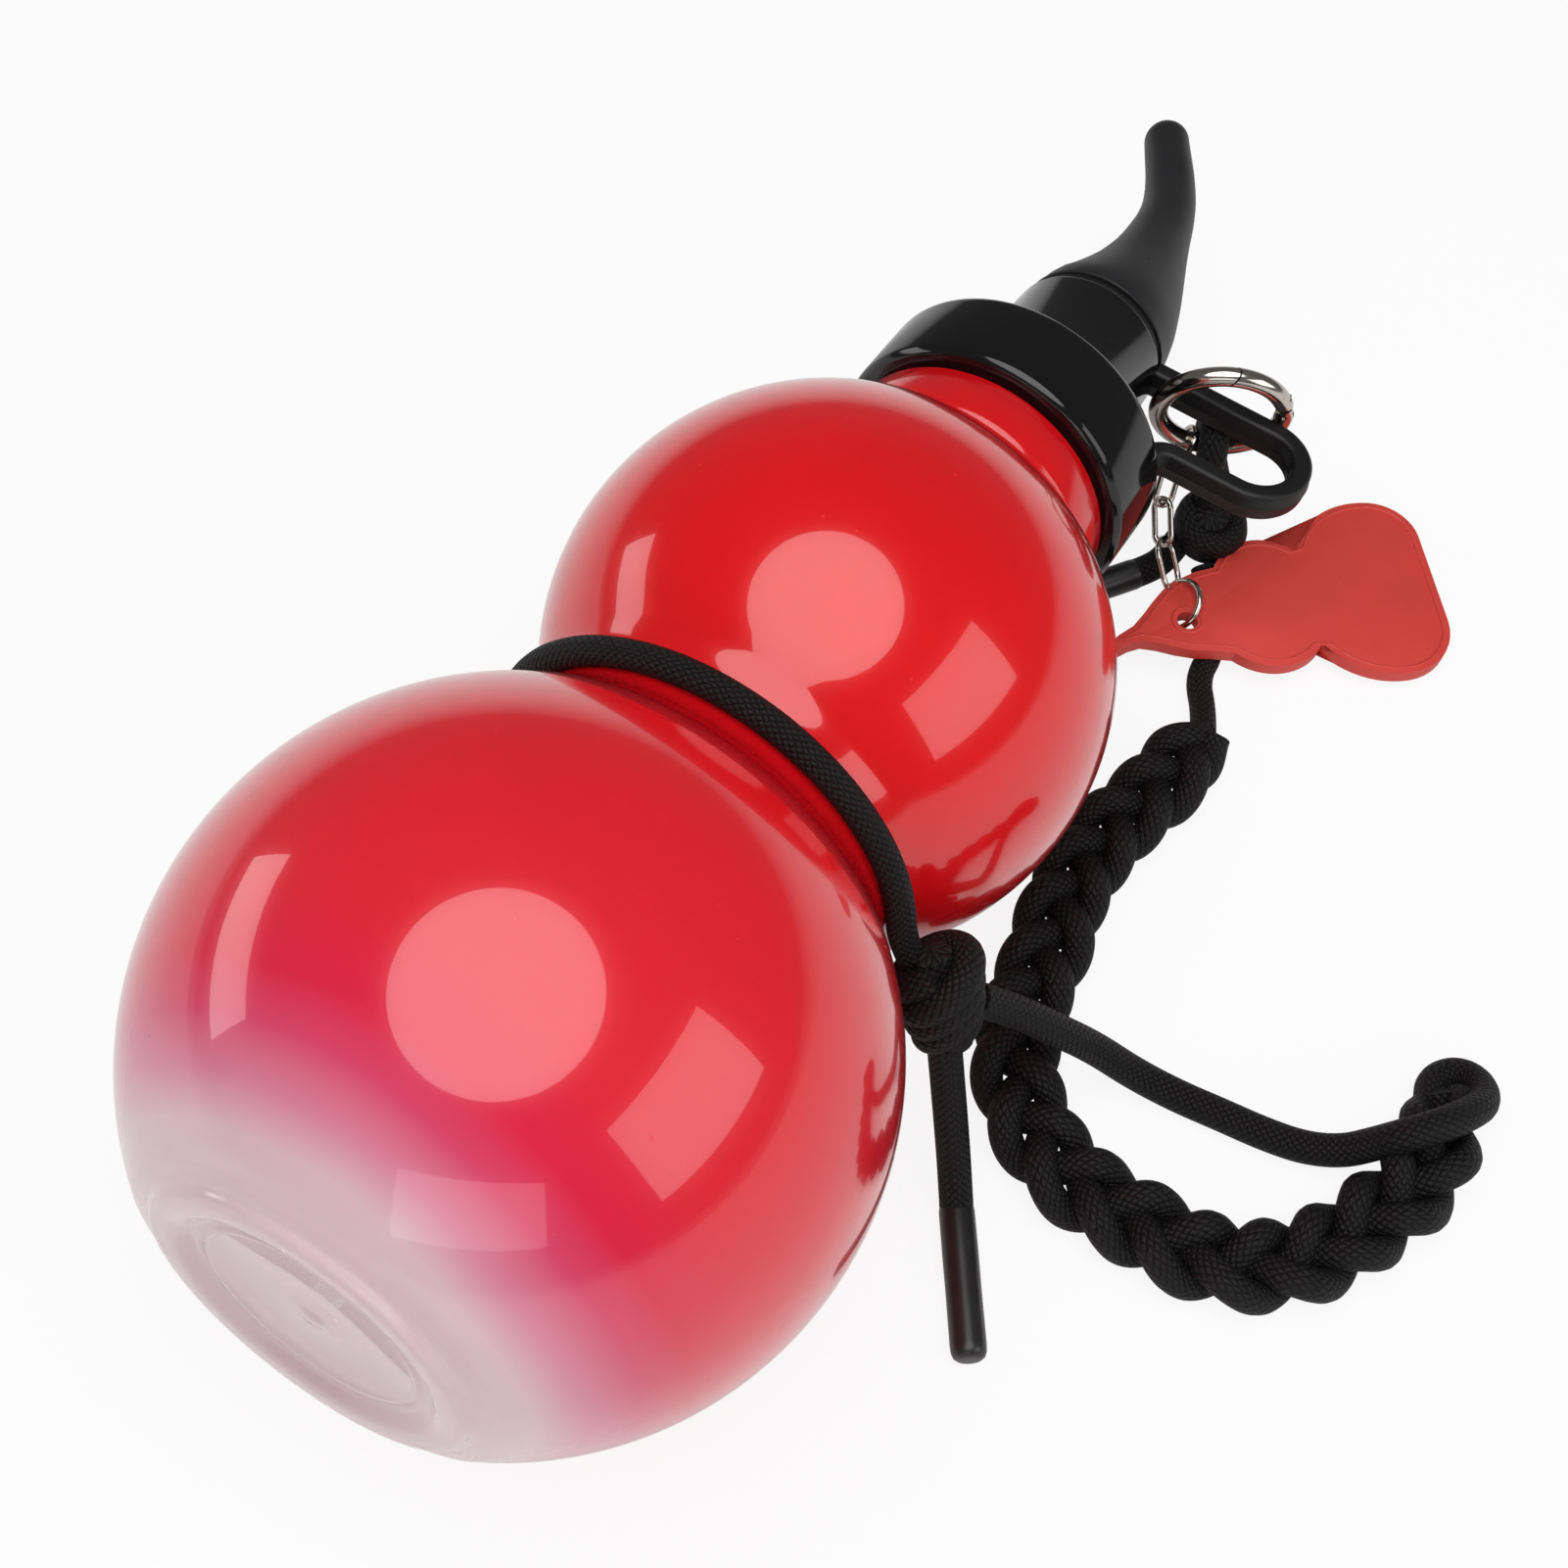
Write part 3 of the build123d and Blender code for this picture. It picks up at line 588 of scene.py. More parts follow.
def sheath_material(settings):
    material, tree = empty("woven cord")
    uv = add(tree, "ShaderNodeUVMap", uv_map="cord").outputs[0]
    weave = use_group(tree, "Woven sheath", woven_sheath,
                      {"Vector": uv, "Strands": 12.0, "Pick length": 1.25})
    surface(tree, {
        # The weave's tone darkens the hollows and lightens the raised strands: painted shade and painted
        # highlight
        "Base Color": tint(tree, weave["Tone"], scaled(settings.sheath, 0.35), scaled(settings.sheath, 2.4)),
        "Normal": bump(tree, weave["Height"], 0.85, 0.30), "Roughness": 0.58, "Specular IOR Level": 0.2})
    return material


def sleeve_material():
    material, tree, where = blank("shrunk sleeve")
    marks = marks_on(tree, where, 160.0, 0.28, 0.12)
    pull = noise(tree, where, 220.0, 2.0)
    surface(tree, {
        "Base Color": tint(tree, pull, (0.008, 0.008, 0.009), (0.022, 0.021, 0.022)),
        "Roughness": marks["Roughness"], "Normal": bump(tree, pull, 0.25, 0.12)})
    return material


# The bottle's outline and its thread

def gourd_arcs(settings, inset, start_along, end_radius):
    """Lower bulb, waist and upper bulb as (along, out) in millimetres, moved in by the inset."""
    low, high = settings.lower_radius / MM, settings.upper_radius / MM
    waist = settings.waist_blend / MM
    upper_center = LOWER_CENTER + BULB_SPACING
    share = ((low + waist) ** 2 - (high + waist) ** 2 + BULB_SPACING**2) / (2 * BULB_SPACING**2)
    waist_along = LOWER_CENTER + share * BULB_SPACING
    waist_out = sqrt((low + waist) ** 2 - (waist_along - LOWER_CENTER) ** 2)
    lower_turn = degrees(atan2(waist_out, waist_along - LOWER_CENTER))
    upper_turn = 180 - degrees(atan2(waist_out, upper_center - waist_along))
    start = 180 - degrees(acos((LOWER_CENTER - start_along) / (low - inset)))
    end = degrees(asin(end_radius / (high - inset)))
    lower = arc((LOWER_CENTER, 0), low - inset, start, lower_turn, 40)
    hollow = arc((waist_along, waist_out), waist + inset, lower_turn + 180, upper_turn + 180, 20)
    top = arc((upper_center, 0), high - inset, upper_turn, end, 34)
    return lower + hollow[1:] + top[1:]


def thread_coil(name, radius, start, turns, height, pitch):
    """A helical screw thread, as a small ridge carried round and up by a Screw modifier."""
    profile = [(0.0, 0.0), (0.9, height), (1.5, height), (2.4, 0.0)]
    obj = draw_line([Vector((radius + out, 0, along)) * MM for along, out in profile])
    bpy.ops.object.mode_set(mode="OBJECT")
    named(name)
    screw = obj.modifiers.new("screw", "SCREW")
    screw.axis = "Z"
    screw.angle = tau
    screw.iterations = turns
    screw.screw_offset = pitch
    screw.steps = screw.render_steps = 72
    apply_modifiers(obj)
    turn = UP_AXIS.to_track_quat("Z", "X").to_matrix().to_4x4()
    obj.matrix_world = Matrix.Translation(place(start, 0)) @ turn
    settle(obj)
    bpy.ops.object.mode_set(mode="EDIT")
    face_outwards()
    return obj


class BOTTLE_OT_shell(bpy.types.Operator):
    """The blown gourd shell with its recessed foot, neck and screw thread"""

    bl_idname = "gourd.shell"
    bl_label = "Shell"

    def execute(self, context):
        settings = context.scene.gourd_bottle
        foot = [(1.15, 0.0), (1.2, 1.2), (1.5, 1.9), (1.6, 2.4), (1.6, 14.6), (1.35, 15.0), (1.25, 15.4),
                (1.35, 15.8), (1.6, 16.2), (1.6, 17.3), (1.3, 18.0), (0.45, 18.8), (0.1, 19.5), (0.0, 20.3),
                (0.0, 22.3), (0.12, 23.0), (0.45, 23.5), (0.95, 23.75), (1.35, 24.0), (1.6, 24.6),
                (1.8, 25.6), (2.0, 26.7)]
        neck = [(158.7, 22.25), (159.31, 21.8), (159.9, 22.2), (160.51, 22.3), (166.9, 22.3), (167.4, 22.1),
                (167.51, 21.7), (167.51, 20.3), (167.7, 19.9), (178.5, 19.9), (178.95, 19.7), (179.11, 19.3)]
        rim = [(179.11, 18.0), (178.95, 17.6), (178.51, 17.4)]
        inner = gourd_arcs(settings, settings.wall / MM, 4.6, 17.4)[::-1]
        outline = foot + gourd_arcs(settings, 0, 2.3, 22.3) + neck + rim + inner + [(4.6, 0.0)]
        shell = lathe("tinted_shell", outline, settings.steps)
        thread = thread_coil("neck_thread", 19.86, 169.8, 2, 0.62, context.scene.gourd_cap.thread_pitch)
        material = shell_material(settings)
        settle(shell, 40)
        for piece in (shell, thread):
            give(piece, material)
            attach(piece, "bottle")
        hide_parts("bottle_shell")
        return {"FINISHED"}


class BOTTLE_OT_lid(bpy.types.Operator):
    """The glossy screw lid with the spout's collar, and its seal"""

    bl_idname = "gourd.lid"
    bl_label = "Lid"

    def execute(self, context):
        settings = context.scene.gourd_cap
        skirt, collar = settings.lid_radius / MM, settings.collar_radius / MM
        edge = 2.0
        outline = [(168.61, 20.9), (168.61, skirt - 1.2), (168.75, skirt - 0.85), (169.4, skirt - 0.18),
                   (169.9, skirt), (181.6, skirt)]
        outline += arc((181.71, skirt - edge), edge, 90, 0, 8)[1:]
        outline += [(183.71, collar + 0.9), (183.85, collar + 0.35), (184.4, collar), (205.9, 13.3)]
        outline += arc((205.91, 12.4), 0.9, 90, 0, 6)[1:]
        outline += [(206.81, 11.1), (206.5, 10.7), (206.1, 10.6), (180.9, 10.6), (180.71, 10.8),
                    (180.71, 20.8), (169.0, 20.8), (168.61, 20.9)]
        lid = lathe("screw_lid", outline, 128)
        thread = thread_coil("lid_thread", 20.84, 170.6, 1, -0.30, settings.thread_pitch)
        material = skin("glossy black plastic", settings.plastic, (0.10, 0.10, 0.10), (0.08, 0.04),
                        marks=(80.0, 0.05, 0.07), IOR=1.5)
        settle(lid, 30)
        for piece in (lid, thread):
            give(piece, material)
            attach(piece, "lid")
        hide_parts("lid")
        paint("lid_gasket", skin("clear seal", (0.62, 0.61, 0.58), (0.78, 0.77, 0.75), (0.2, 0.1),
                                 grain=(1800.0, 120.0), Roughness=0.45))
        return {"FINISHED"}


class BOTTLE_OT_stopper(bpy.types.Operator):
    """The curved horn on its plug"""

    bl_idname = "gourd.stopper"
    bl_label = "Stopper"

    def execute(self, context):
        settings = context.scene.gourd_cap
        length = settings.horn_length / MM
        points = [place(208.51 + share * length, lean * length, STRAP_OUT) for share, lean, _ in HORN_CURVE]
        deselect()
        bpy.ops.curve.primitive_nurbs_path_add(location=(0, 0, 0))
        horn = named("horn")
        horn.data.splines.clear()
        spline = fill_spline(horn.data, points)
        for control, (_, _, width) in zip(spline.points, HORN_CURVE):
            control.radius = width
        spline.use_smooth = True
        horn.data.resolution_u = 5
        horn.data.bevel_depth = settings.horn_base
        horn.data.bevel_resolution = 14
        horn.data.use_fill_caps = True
        pick(horn)
        bpy.ops.object.convert(target="MESH")
        horn = bpy.context.object
        deselect()
        bpy.ops.mesh.primitive_uv_sphere_add(
            segments=48, ring_count=24, radius=HORN_CURVE[-1][2] * settings.horn_base, location=points[-1])
        tip = bpy.context.object
        ribs = [(0.0, 9.6), (0.5, 10.1), (0.9, 10.35), (1.3, 10.1), (1.8, 9.6)]
        outline = [(197.01, 0.0), (197.01, 8.9), (197.2, 9.35), (197.6, 9.6)]
        for start in (198.4, 203.2):
            outline += [(start + along, out) for along, out in ribs]
        outline += [(208.3, 9.6), (208.51, 9.8), (208.51, 12.5), (208.6, 12.7), (208.8, 12.78)]
        plug = lathe("plug", outline, 96)
        settle(horn, 35)
        settle(plug, 35)
        settle(tip, 60)
        stopper = join("horn_and_plug", [horn, plug, tip])
        smooth(40)
        give(stopper, silicone_material(settings))
        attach(stopper, "stopper")
        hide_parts("horn_stopper")
        return {"FINISHED"}


class BOTTLE_OT_strap(bpy.types.Operator):
    """The loop strap from the sleeve on the collar to the eyelet under the horn"""

    bl_idname = "gourd.strap"
    bl_label = "Strap"

    def execute(self, context):
        facing = UP_AXIS.cross(STRAP_OUT)
        half_width, half_depth, corner, seam = 2.75, 1.65, 0.9, 0.2
        quarter = [(0.0, half_depth + seam), (0.35, half_depth + 0.03)]
        across, deep = half_width - corner, half_depth - corner
        quarter += [(across + corner * cos(radians(t)), deep + corner * sin(radians(t)))
                    for t in (90, 67, 45, 22, 0)]
        section = quarter + [(a, -b) for a, b in quarter[::-1]]
        section += [(-a, -b) for a, b in quarter[1:]] + [(-a, b) for a, b in quarter[:0:-1]]
        ring = [place(186.81 + b, 15.4, STRAP_OUT) + facing * a * MM for a, b in section]
        loop = draw_line(ring + ring[:1])
        weld()

        def run(along, out):
            way = UP_AXIS * along + STRAP_OUT * out
            bpy.ops.mesh.extrude_edges_move(TRANSFORM_OT_translate={"value": way * MM})

        def bend(along, out, angle, steps):
            # With no window, spin turns the other way round its axis
            bpy.ops.mesh.spin(
                steps=steps, angle=radians(angle), center=place(along, out, STRAP_OUT), axis=facing)

        climb, level_from, turn_back, eyelet_edge = 2.194, 23.64, 34.7, 12.9
        run(0, 1.6)
        bend(189.21, 17.0, 60, 8)
        run(climb * sin(radians(60)), climb * cos(radians(60)))
        bend(187.91, level_from, -60, 10)
        run(0, turn_back - level_from)
        bend(199.36, turn_back, 180, 40)
        run(0, eyelet_edge - turn_back)
        weld()
        bpy.ops.mesh.fill_holes(sides=0)
        face_outwards()
        sleeve = [(184.01, 14.7), (184.01, 15.9), (184.15, 16.2), (184.4, 16.3), (189.2, 16.3),
                  (189.45, 16.2), (189.61, 15.9), (189.61, 14.9), (189.45, 14.7), (184.01, 14.7)]
        eyelet = [(206.91, 10.6), (206.91, 12.1), (207.1, 12.45), (207.5, 12.55), (208.0, 12.55),
                  (208.3, 12.4), (208.41, 12.1), (208.41, 10.6), (206.91, 10.6)]
        parts = [loop, lathe("sleeve", sleeve, 96), lathe("eyelet", eyelet, 96)]
        for part in parts:
            settle(part, 40)
        strap = join("loop_strap", parts)
        smooth(45)
        give(strap, silicone_material(context.scene.gourd_cap, "soft black strap", 0.3))
        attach(strap, "tether")
        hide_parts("strap")
        return {"FINISHED"}


class BOTTLE_OT_clip(bpy.types.Operator):
    """Nickel for the ring, its gate and the chain, and spring steel in the gate"""

    bl_idname = "gourd.clip"
    bl_label = "Ring and chain"

    def execute(self, context):
        color = context.scene.gourd_clip.nickel
        nickel = skin("nickel plate", scaled(color, 0.72), color, (0.15, 0.03), marks=(240.0, 0.08, 0.12),
                      patch=(150.0, 3.0), Metallic=1.0)
        for name in ("clip_ring", "gate", "gate_pin", "jump_ring", "chain_link_1", "chain_link_2",
                     "chain_link_3", "chain_link_4"):
            paint(name, nickel)
        paint("gate_spring", skin("spring steel", (0.50, 0.49, 0.47), (0.30, 0.29, 0.28), (0.2, 0.04),
                                  marks=(400.0, 0.2, 0.12), Metallic=1.0))
        return {"FINISHED"}


class BOTTLE_OT_tag(bpy.types.Operator):
    """The flat gourd tag with a moulded line inside its edge"""

    bl_idname = "gourd.tag"
    bl_label = "Tag"

    def execute(self, context):
        settings = context.scene.gourd_clip
        slope, heading = asin(5.0 / 46.1), radians(41.5)
        outward = Vector((cos(heading) * cos(slope), sin(heading) * cos(slope), -sin(slope)))
        level = Vector((-sin(heading), cos(heading), 0))
        normal = outward.cross(level)
        in_place = Matrix.Translation(TAG_HOLE) @ Matrix((outward, level, normal)).transposed().to_4x4()

        def lay(outline, height=0.0):
            return [TAG_HOLE + (outward * a + level * b) * MM + normal * height for a, b in outline]

        tag = draw_line(lay(self.outline(0.0)))
        bpy.ops.mesh.edge_face_add()
        select_all()
        bpy.ops.mesh.extrude_region_move(TRANSFORM_OT_translate={"value": -normal * settings.tag_thickness})
        face_outwards()
        deselect()
        bpy.ops.mesh.primitive_cylinder_add(vertices=48, radius=1.75 * MM, depth=0.02)
        drill = bpy.context.object
        drill.matrix_world = in_place
        cut = tag.modifiers.new("hole", "BOOLEAN")
        cut.object = drill
        cut.operation = "DIFFERENCE"
        rounding = tag.modifiers.new("edge", "BEVEL")
        rounding.width = 0.45 * MM
        rounding.segments = 3
        rounding.limit_method = "ANGLE"
        rounding.angle_limit = radians(55)
        apply_modifiers(tag)
        bpy.data.objects.remove(drill)
        settle(tag, 30)
        deselect()
        bpy.ops.mesh.primitive_torus_add(
            major_segments=64, minor_segments=12, major_radius=2.5 * MM, minor_radius=0.28 * MM)
        bead = bpy.context.object
        bead.matrix_world = in_place
        settle(bead, 60)
        line_radius = 0.3 * MM
        ridge = lay(self.outline(1.1), settings.tag_line - line_radius)
        line = tube("tag_line", ridge, line_radius, sides=10, closed=True, start_normal=normal)
        tag = join("gourd_tag", [tag, bead, line])
        red = skin("soft red tag", scaled(settings.tag_color, 0.82), settings.tag_color, (0.18, 0.12),
                   marks=(120.0, 0.44, 0.14), grain=(3000.0, 110.0))
        give(tag, red)
        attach(tag, "tag")
        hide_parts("tag")
        return {"FINISHED"}

    def outline(self, inset):
        """The tag's edge as (along, across) in millimetres, moved in by the inset."""
        edge = arc((37.0, 7.4), 14.7, 161, 80.5, 14)
        edge += arc((38.1, 14.0), 8.0, 80.5, 0, 9)[1:]
        edge += arc((34.8, -3.8), 10.5, -4, -86, 9)
        edge += arc((34.5, 0.4), 14.7, -86, -150.4, 12)[1:]
        edge += arc((13.9, -0.5), 10.2, -38, -138, 16)
        edge += [(3.0, -6.6), (-0.1, -6.2), (-3.1, -5.3), (-6.2, -4.0), (-8.8, -3.3), (-11.0, -3.8),
                 (-13.5, -4.9), (-14.5, -5.1), (-15.1, -4.5), (-14.8, -3.6), (-12.6, -1.9), (-9.5, -0.2),
                 (-7.2, 2.0), (-5.0, 4.3), (-2.6, 6.6), (0.0, 8.3), (4.1, 9.9), (7.6, 10.5)]
        edge += arc((16.1, 6.3), 9.4, 145, 39, 16)
        if not inset:
            return edge
        moved = []
        for before, here, after in zip(edge[-1:] + edge[:-1], edge, edge[1:] + edge[:1]):
            way = (Vector(after) - Vector(before)).normalized()
            spot = Vector(here) + Vector((way.y, -way.x)) * inset
            # Where the edge turns in sharply, moved points would cross each other
            if min((spot - Vector(point)).length for point in edge) > inset * 0.97:
                moved.append(tuple(spot))
        return moved


class BOTTLE_OT_cords(bpy.types.Operator):
    """The lanyard: waist cord, knots, free stretches, plaited band and sleeved ends"""

    bl_idname = "gourd.cords"
    bl_label = "Lanyard"

    def execute(self, context):
        settings = context.scene.gourd_lanyard
        radius = settings.cord_radius
        woven = sheath_material(settings)
        routes = {"tail": TAIL_ROUTE, "free": FREE_ROUTE, "upper": UPPER_ROUTE, "braid": BRAID_ROUTE,
                  "upper_tail": UPPER_TAIL_ROUTE, "hitch": self.hitch_route()}
        self.lines = {name: even(read_route(route), CORD_STEP) for name, route in routes.items()}
        sleeves = self.sleeves()
        tail = self.cord("tail_cord", "tail", "bottle", "tail", radius, woven)
        free = self.cord("free_cord", "free", "bottle", "free_stretch", radius, woven)
        upper = self.cord("upper_cord", "upper", None, "upper_stretch", UPPER_RADIUS, woven)
        upper_tail = self.cord("upper_tail_cord", "upper_tail", "lanyard_top", "upper_tail", radius, woven)
        hitch = self.cord("hitch_cord", "hitch", "lanyard_top", "hitch", radius, woven)
        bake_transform(upper)
        braid = self.plait(settings, woven)
        self.waist_ring(woven)
        self.barrel("waist_knot_wraps", WAIST_KNOT, Vector((0.36, -0.16, -0.92)).normalized(),
                    "bottle", "waist_knot", woven, 4, (5.3, 3.0), 17.0, 2.2)
        top_knot = self.barrel("top_knot_wraps", TOP_KNOT, Vector((0.1, -0.35, 0.93)).normalized(),
                               "lanyard_top", "top_knot", woven, 3, (4.4, 3.8), 10.4, 1.6)
        self.declare(tail, "tail", radius, far_end="fitting", lay="hanging", with_pieces=[sleeves[0]])
        self.declare(free, "free", radius, far_end="object")
        self.declare(upper, "upper", UPPER_RADIUS, far_end="object",
                     with_pieces=[upper_tail, sleeves[1], hitch, top_knot])
        self.declare(braid, "braid", BAND_WIDTH / 2, far_end="object")
        return {"FINISHED"}

    def hitch_route(self):
        """Up from the top knot, over the ring's wire at its lowest place, and down again."""
        angle = radians(269)
        level_up = RING_FACING.cross(RING_LEVEL)
        center = RING_CENTER + (RING_LEVEL * cos(angle) + level_up * sin(angle)) * 10.1 * MM
        up = (RING_CENTER - center).normalized()
        front = RING_FACING * 3.9 * MM
        points = [
            TOP_KNOT + Vector((-0.5, 0.2, 4.5)) * MM,
            center + front * 1.05 - up * 5.0 * MM,
            center + front + up * 3.9 * MM,
            center - front + up * 3.9 * MM,
            center - front * 1.05 - up * 5.0 * MM,
            TOP_KNOT + Vector((-0.6, 3.4, 3.6)) * MM,
        ]
        return [point / MM for point in points]

    def cord(self, name, line, body, node, radius, material):
        piece = tube(name, self.lines[line], radius)
        give(piece, material)
        if body:
            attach(piece, body)
        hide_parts(node)
        return piece

    def declare(self, piece, line, radius, far_end, lay="loose", with_pieces=()):
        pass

    def waist_ring(self, material):
        """The cord pulled tight round the waist, drawn out where it enters the knot."""
        side = Vector((1, 0, 0))
        from_axis = WAIST_KNOT - FOOT
        knot_turn = atan2(from_axis.dot(OUT_AXIS), from_axis.dot(side))
        reach, pull, spread, count = 31.9, 4.4, 0.17, 360
        line = []
        for i in range(count):
            turn = tau * i / count - pi
            out = reach + pull * exp(-((turn - knot_turn) / spread) ** 2)
            line.append(place(87.69, out, side * cos(turn) + OUT_AXIS * sin(turn)))
        ring = tube("waist_cord_ring", line, 2.1 * MM, closed=True, start_normal=UP_AXIS)
        give(ring, material)
        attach(ring, "bottle")
        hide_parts("waist_cord")

    def barrel(self, name, center, axis, body, node, material, turns, reaches, length, slant):
        """A drawn knot: the cord wrapped round itself at a slant, its ends tucked in."""
        across = axis.cross(Vector((0.85, 0.52, 0.1))).normalized()
        other = axis.cross(across)
        wide, narrow = reaches
        wrap, ends = 2.4, 0.07
        points = []
        total = turns * 10
        for i in range(total + 1):
            share = i / total
            turn = tau * turns * share
            tuck = min(1.0, share / ends, (1 - share) / ends)
            reach = (wide + (narrow - wide) * share) * (0.5 + 0.5 * tuck)
            rise = (share - 0.5) * (length - 2 * wrap) + slant * sin(turn) * tuck
            points.append(center / MM + (across * cos(turn) + other * sin(turn)) * reach + axis * rise)
        wraps = tube(name, even(read_route(points), 0.5 * MM), wrap * MM)
        heart = [center + axis * (rise * length * MM) for rise in (-0.5, 0.5)]
        core = tube(name + "_core", even(heart, 1.0 * MM), 2.8 * MM)
        knot = join(name, [wraps, core])
        give(knot, material)
        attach(knot, body)
        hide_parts(node)
        return knot

    def plait(self, settings, material):
        """Three strands crossing over and back along the band's line."""
        line = self.lines["braid"]
        total = line_length(line)
        last = len(line) - 1
        # Over this length at each end, the strands close up to where they are tied
        tie = 7 * MM
        up = Vector((0, 0, 1))
        strands = []
        for strand in range(3):
            path = []
            for i, point in enumerate(line):
                tangent = line[min(i + 1, last)] - line[max(i - 1, 0)]
                across = tangent.normalized().cross(up).normalized()
                walked = total * i / last
                ease = min(1.0, walked / tie, (total - walked) / tie)
                ease = ease * ease * (3 - 2 * ease)
                phase = tau * (walked / settings.plait_period + strand / 3)
                swing = settings.plait_reach * (0.45 + 0.55 * ease) * sin(phase)
                lift = settings.plait_lift * (0.6 + 0.4 * ease) * sin(2 * phase)
                path.append(point + across * swing + up * lift)
            path = even(path, CORD_STEP)
            strands.append(tube(f"strand_{strand + 1}", path, settings.cord_radius, sides=16))
        band = join("plaited_band", strands)
        give(band, material)
        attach(band, "bottle")
        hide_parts("braid")
        return band

    def sleeves(self):
        """The shrunk sleeves on both cord ends, each from its cord's last point towards another."""
        material = sleeve_material()
        made = []
        for name, start, toward, length, body, node in (
            ("tail_sleeve_skin", TAIL_ROUTE[-1], (63.9, 11.1, 2.65), 22.6, "bottle", "tail_sleeve"),
            ("upper_sleeve_skin", UPPER_TAIL_ROUTE[-1], (12.9, 135.4, 2.65), 13.6, "lanyard_top",
             "upper_tail_sleeve"),
        ):
            begin = Vector(start) * MM
            way = (Vector(toward) * MM - begin).normalized()
            across = way.orthogonal().normalized()
            outline = [(-0.3, 2.4), (0.0, 2.56), (0.5, 2.62), (length * 0.3, 2.63), (length * 0.55, 2.60),
                       (length - 2.2, 2.63), (length - 1.2, 2.56), (length - 0.5, 2.3), (length - 0.12, 1.8),
                       (length, 1.1), (length, 0.0)]
            obj = revolve(name, [begin + (way * a + across * r) * MM for a, r in outline], 40, begin, way)
            settle(obj, 40)
            give(obj, material)
            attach(obj, body)
            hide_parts(node)
            made.append(obj)
        return made


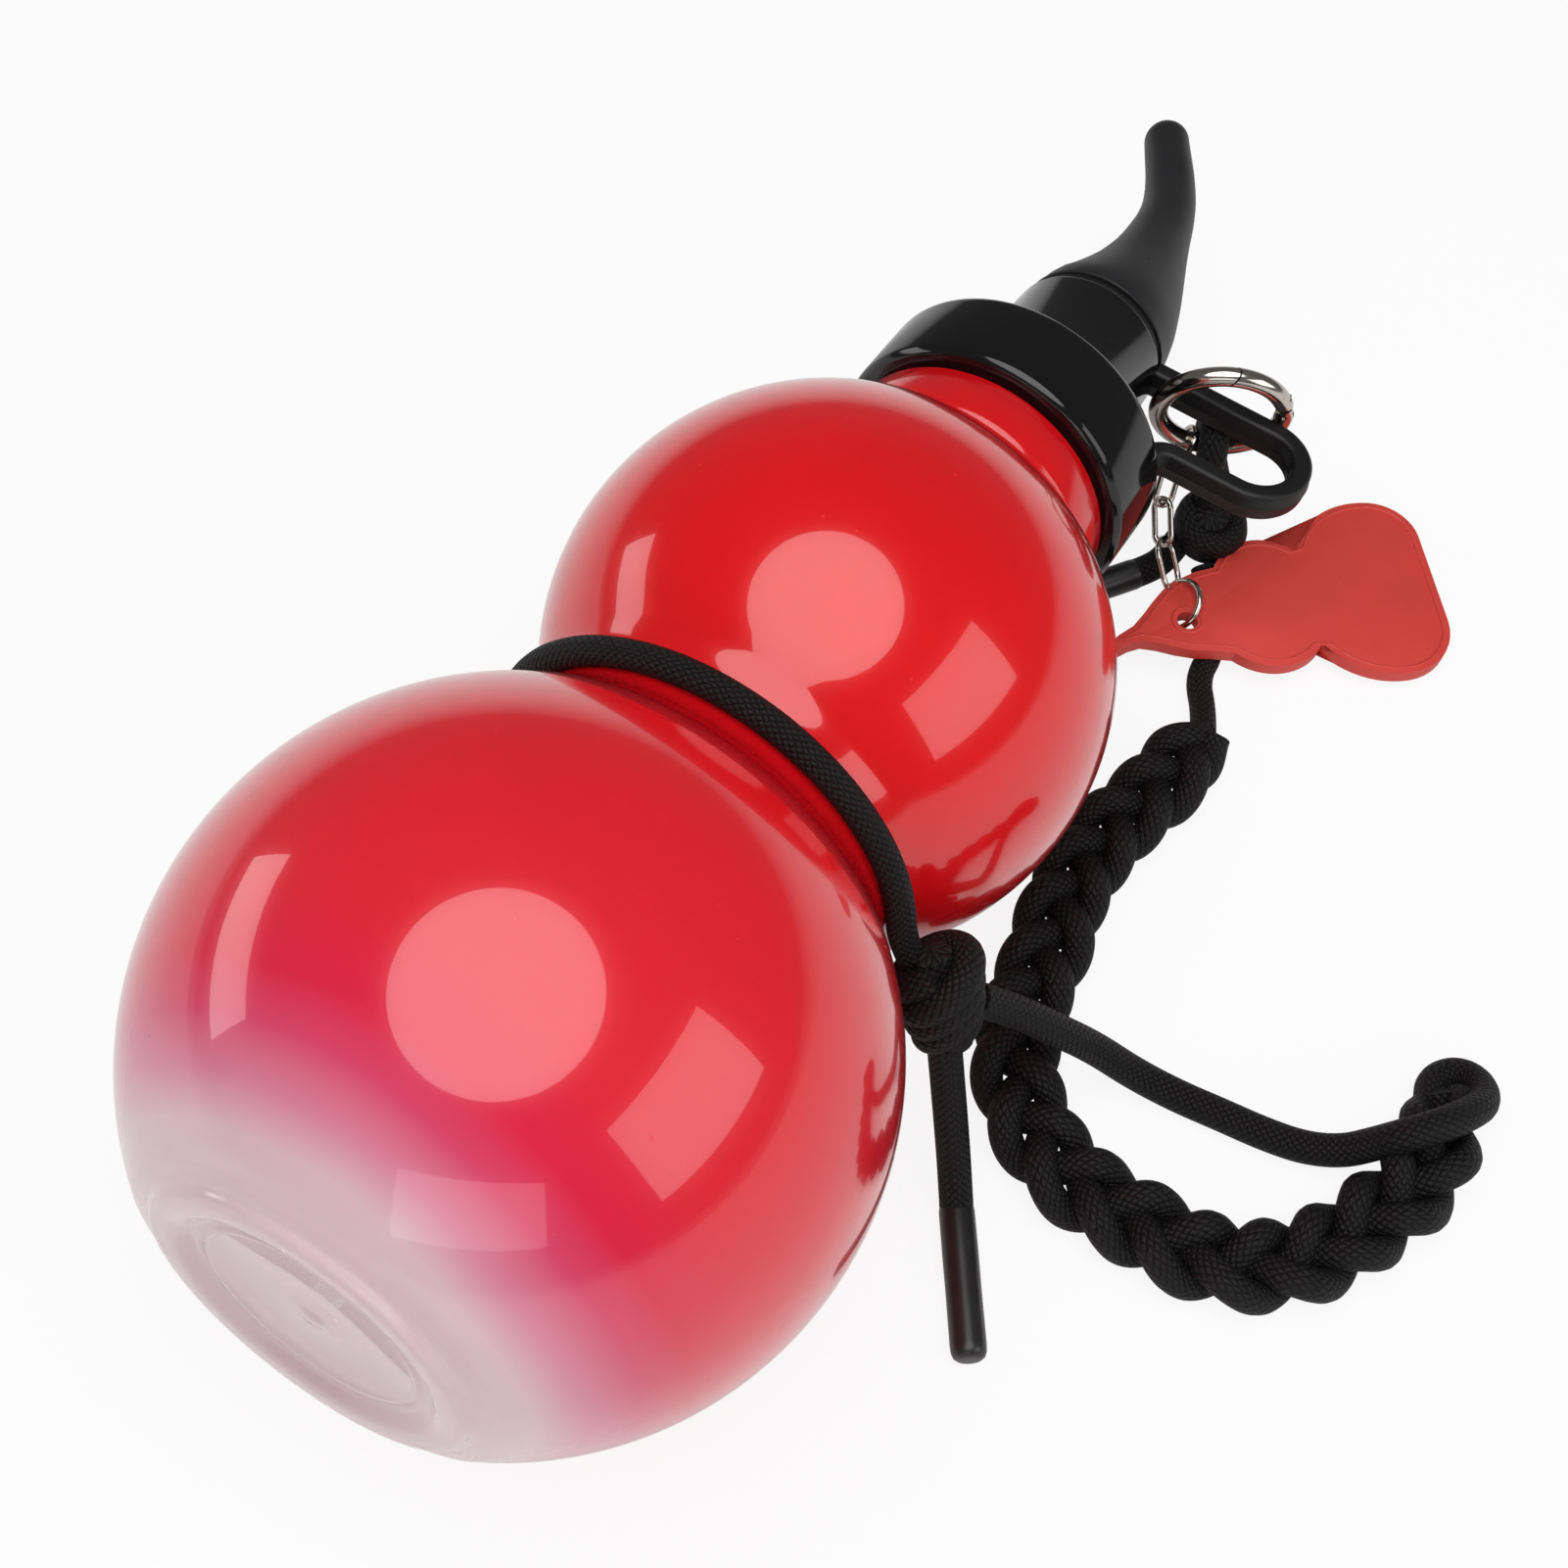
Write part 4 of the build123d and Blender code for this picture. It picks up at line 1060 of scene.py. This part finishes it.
class BOTTLE_OT_stage(bpy.types.Operator):
    """The pale table, the soft boxes and the camera"""

    bl_idname = "gourd.stage"
    bl_label = "Stage"

    def execute(self, context):
        settings = context.scene.gourd_stage
        deselect()
        bpy.ops.mesh.primitive_plane_add(size=settings.floor_size)
        floor = named("table")
        floor.data.materials.append(self.floor_material(settings))
        middle = Vector((0.02, 0.06, 0.05))
        for name, way, distance, shape, size, share in (
            ("overhead box", (0.06, -0.16, 0.98), 0.95, "DISK", (1.05, 1.05), 1.0),
            ("right box", (0.90, 0.02, 0.42), 1.1, "RECTANGLE", (0.85, 0.55), 0.35),
            ("left strip", (-0.94, -0.25, 0.22), 1.1, "RECTANGLE", (0.7, 0.25), 0.16),
            ("front box", (0.35, -0.86, 0.36), 1.2, "RECTANGLE", (0.8, 0.4), 0.16),
        ):
            bpy.ops.object.light_add(type="AREA")
            lamp = bpy.context.object
            lamp.name = name
            direction = Vector(way).normalized()
            lamp.location = middle + direction * distance
            lamp.rotation_euler = direction.to_track_quat("Z", "Y").to_euler()
            lamp.data.shape = shape
            lamp.data.size, lamp.data.size_y = size
            lamp.data.energy = settings.key_watts * share
        self.room(context, settings)
        self.camera(context)
        context.scene.view_settings.view_transform = "Standard"
        return {"FINISHED"}

    def seen(self, tree, glossy=0.0):
        """How far a ray shows the white studio and not its light: camera, transmission, a share of gloss."""
        rays = add(tree, "ShaderNodeLightPath")
        seen = math(tree, "MAXIMUM", rays.outputs["Is Camera Ray"], rays.outputs["Is Transmission Ray"])
        if glossy:
            seen = math(tree, "MAXIMUM", seen, math(tree, "MULTIPLY", rays.outputs["Is Glossy Ray"], glossy))
        return seen

    def floor_material(self, settings):
        material, tree = empty("pale table")
        paint_shader = add(tree, "ShaderNodeBsdfDiffuse", {"Color": (*settings.floor_color, 1)})
        glow = add(tree, "ShaderNodeEmission", {"Color": (1, 1, 1, 1), "Strength": 1.0})
        share = math(tree, "MULTIPLY", self.seen(tree, 0.22), 0.88 if settings.shadow == "SOFT" else 0.35)
        mix = add(tree, "ShaderNodeMixShader", {0: share, 1: paint_shader.outputs[0], 2: glow.outputs[0]})
        add(tree, "ShaderNodeOutputMaterial", {"Surface": mix.outputs[0]})
        return material

    def room(self, context, settings):
        world = bpy.data.worlds.new("studio")
        world.use_nodes = True
        tree = world.node_tree
        background = tree.nodes["Background"]
        background.inputs["Color"].default_value = (1, 1, 1, 1)
        strength = math(tree, "MULTIPLY_ADD", self.seen(tree), 0.97 - settings.room, settings.room)
        tree.links.new(strength, background.inputs["Strength"])
        context.scene.world = world

    def camera(self, context):
        bpy.ops.object.camera_add()
        camera = bpy.context.object
        camera.name = "camera"
        right = Vector((0.85392, 0.52041, 0.0)).normalized()
        forward = Vector((-0.27762, 0.45554, -0.84582)).normalized()
        turn = Matrix((right, right.cross(forward), -forward)).transposed().to_4x4()
        camera.matrix_world = Matrix.Translation((0.09845632, -0.09555803, 0.32689476)) @ turn
        camera.data.lens = 36 * 2421.56 / 1601
        camera.data.sensor_width = 36
        camera.data.clip_start = 0.01
        context.scene.camera = camera


class BOTTLE_PT_panel(bpy.types.Panel):
    """Settings and steps of the gourd bottle"""

    bl_label = "Gourd bottle"
    bl_idname = "BOTTLE_PT_panel"
    bl_space_type = "VIEW_3D"
    bl_region_type = "UI"
    bl_category = "Gourd bottle"

    def draw(self, context):
        layout = self.layout
        for group in SETTINGS:
            box = layout.box()
            settings = getattr(context.scene, group)
            for name in settings.__annotations__:
                box.prop(settings, name)
        for step in OPERATORS:
            layout.operator(step.bl_idname)


SETTINGS = {
    "gourd_bottle": BottleSettings,
    "gourd_cap": CapSettings,
    "gourd_clip": ClipSettings,
    "gourd_lanyard": LanyardSettings,
    "gourd_stage": StageSettings,
}
OPERATORS = (BOTTLE_OT_stage, BOTTLE_OT_cords, BOTTLE_OT_shell, BOTTLE_OT_lid, BOTTLE_OT_stopper,
             BOTTLE_OT_strap, BOTTLE_OT_clip, BOTTLE_OT_tag)
CLASSES = (*SETTINGS.values(), *OPERATORS, BOTTLE_PT_panel)


def register():
    for item in CLASSES:
        bpy.utils.register_class(item)
    for name, group in SETTINGS.items():
        setattr(bpy.types.Scene, name, PointerProperty(type=group))


def unregister():
    for name in SETTINGS:
        delattr(bpy.types.Scene, name)
    for item in reversed(CLASSES):
        bpy.utils.unregister_class(item)


def main():
    register()
    bpy.ops.gourd.stage()
    bpy.ops.gourd.cords()
    bpy.ops.gourd.shell()
    bpy.ops.gourd.lid()
    bpy.ops.gourd.stopper()
    bpy.ops.gourd.strap()
    bpy.ops.gourd.clip()
    bpy.ops.gourd.tag()
    deselect()


if __name__ == "__main__":
    main()
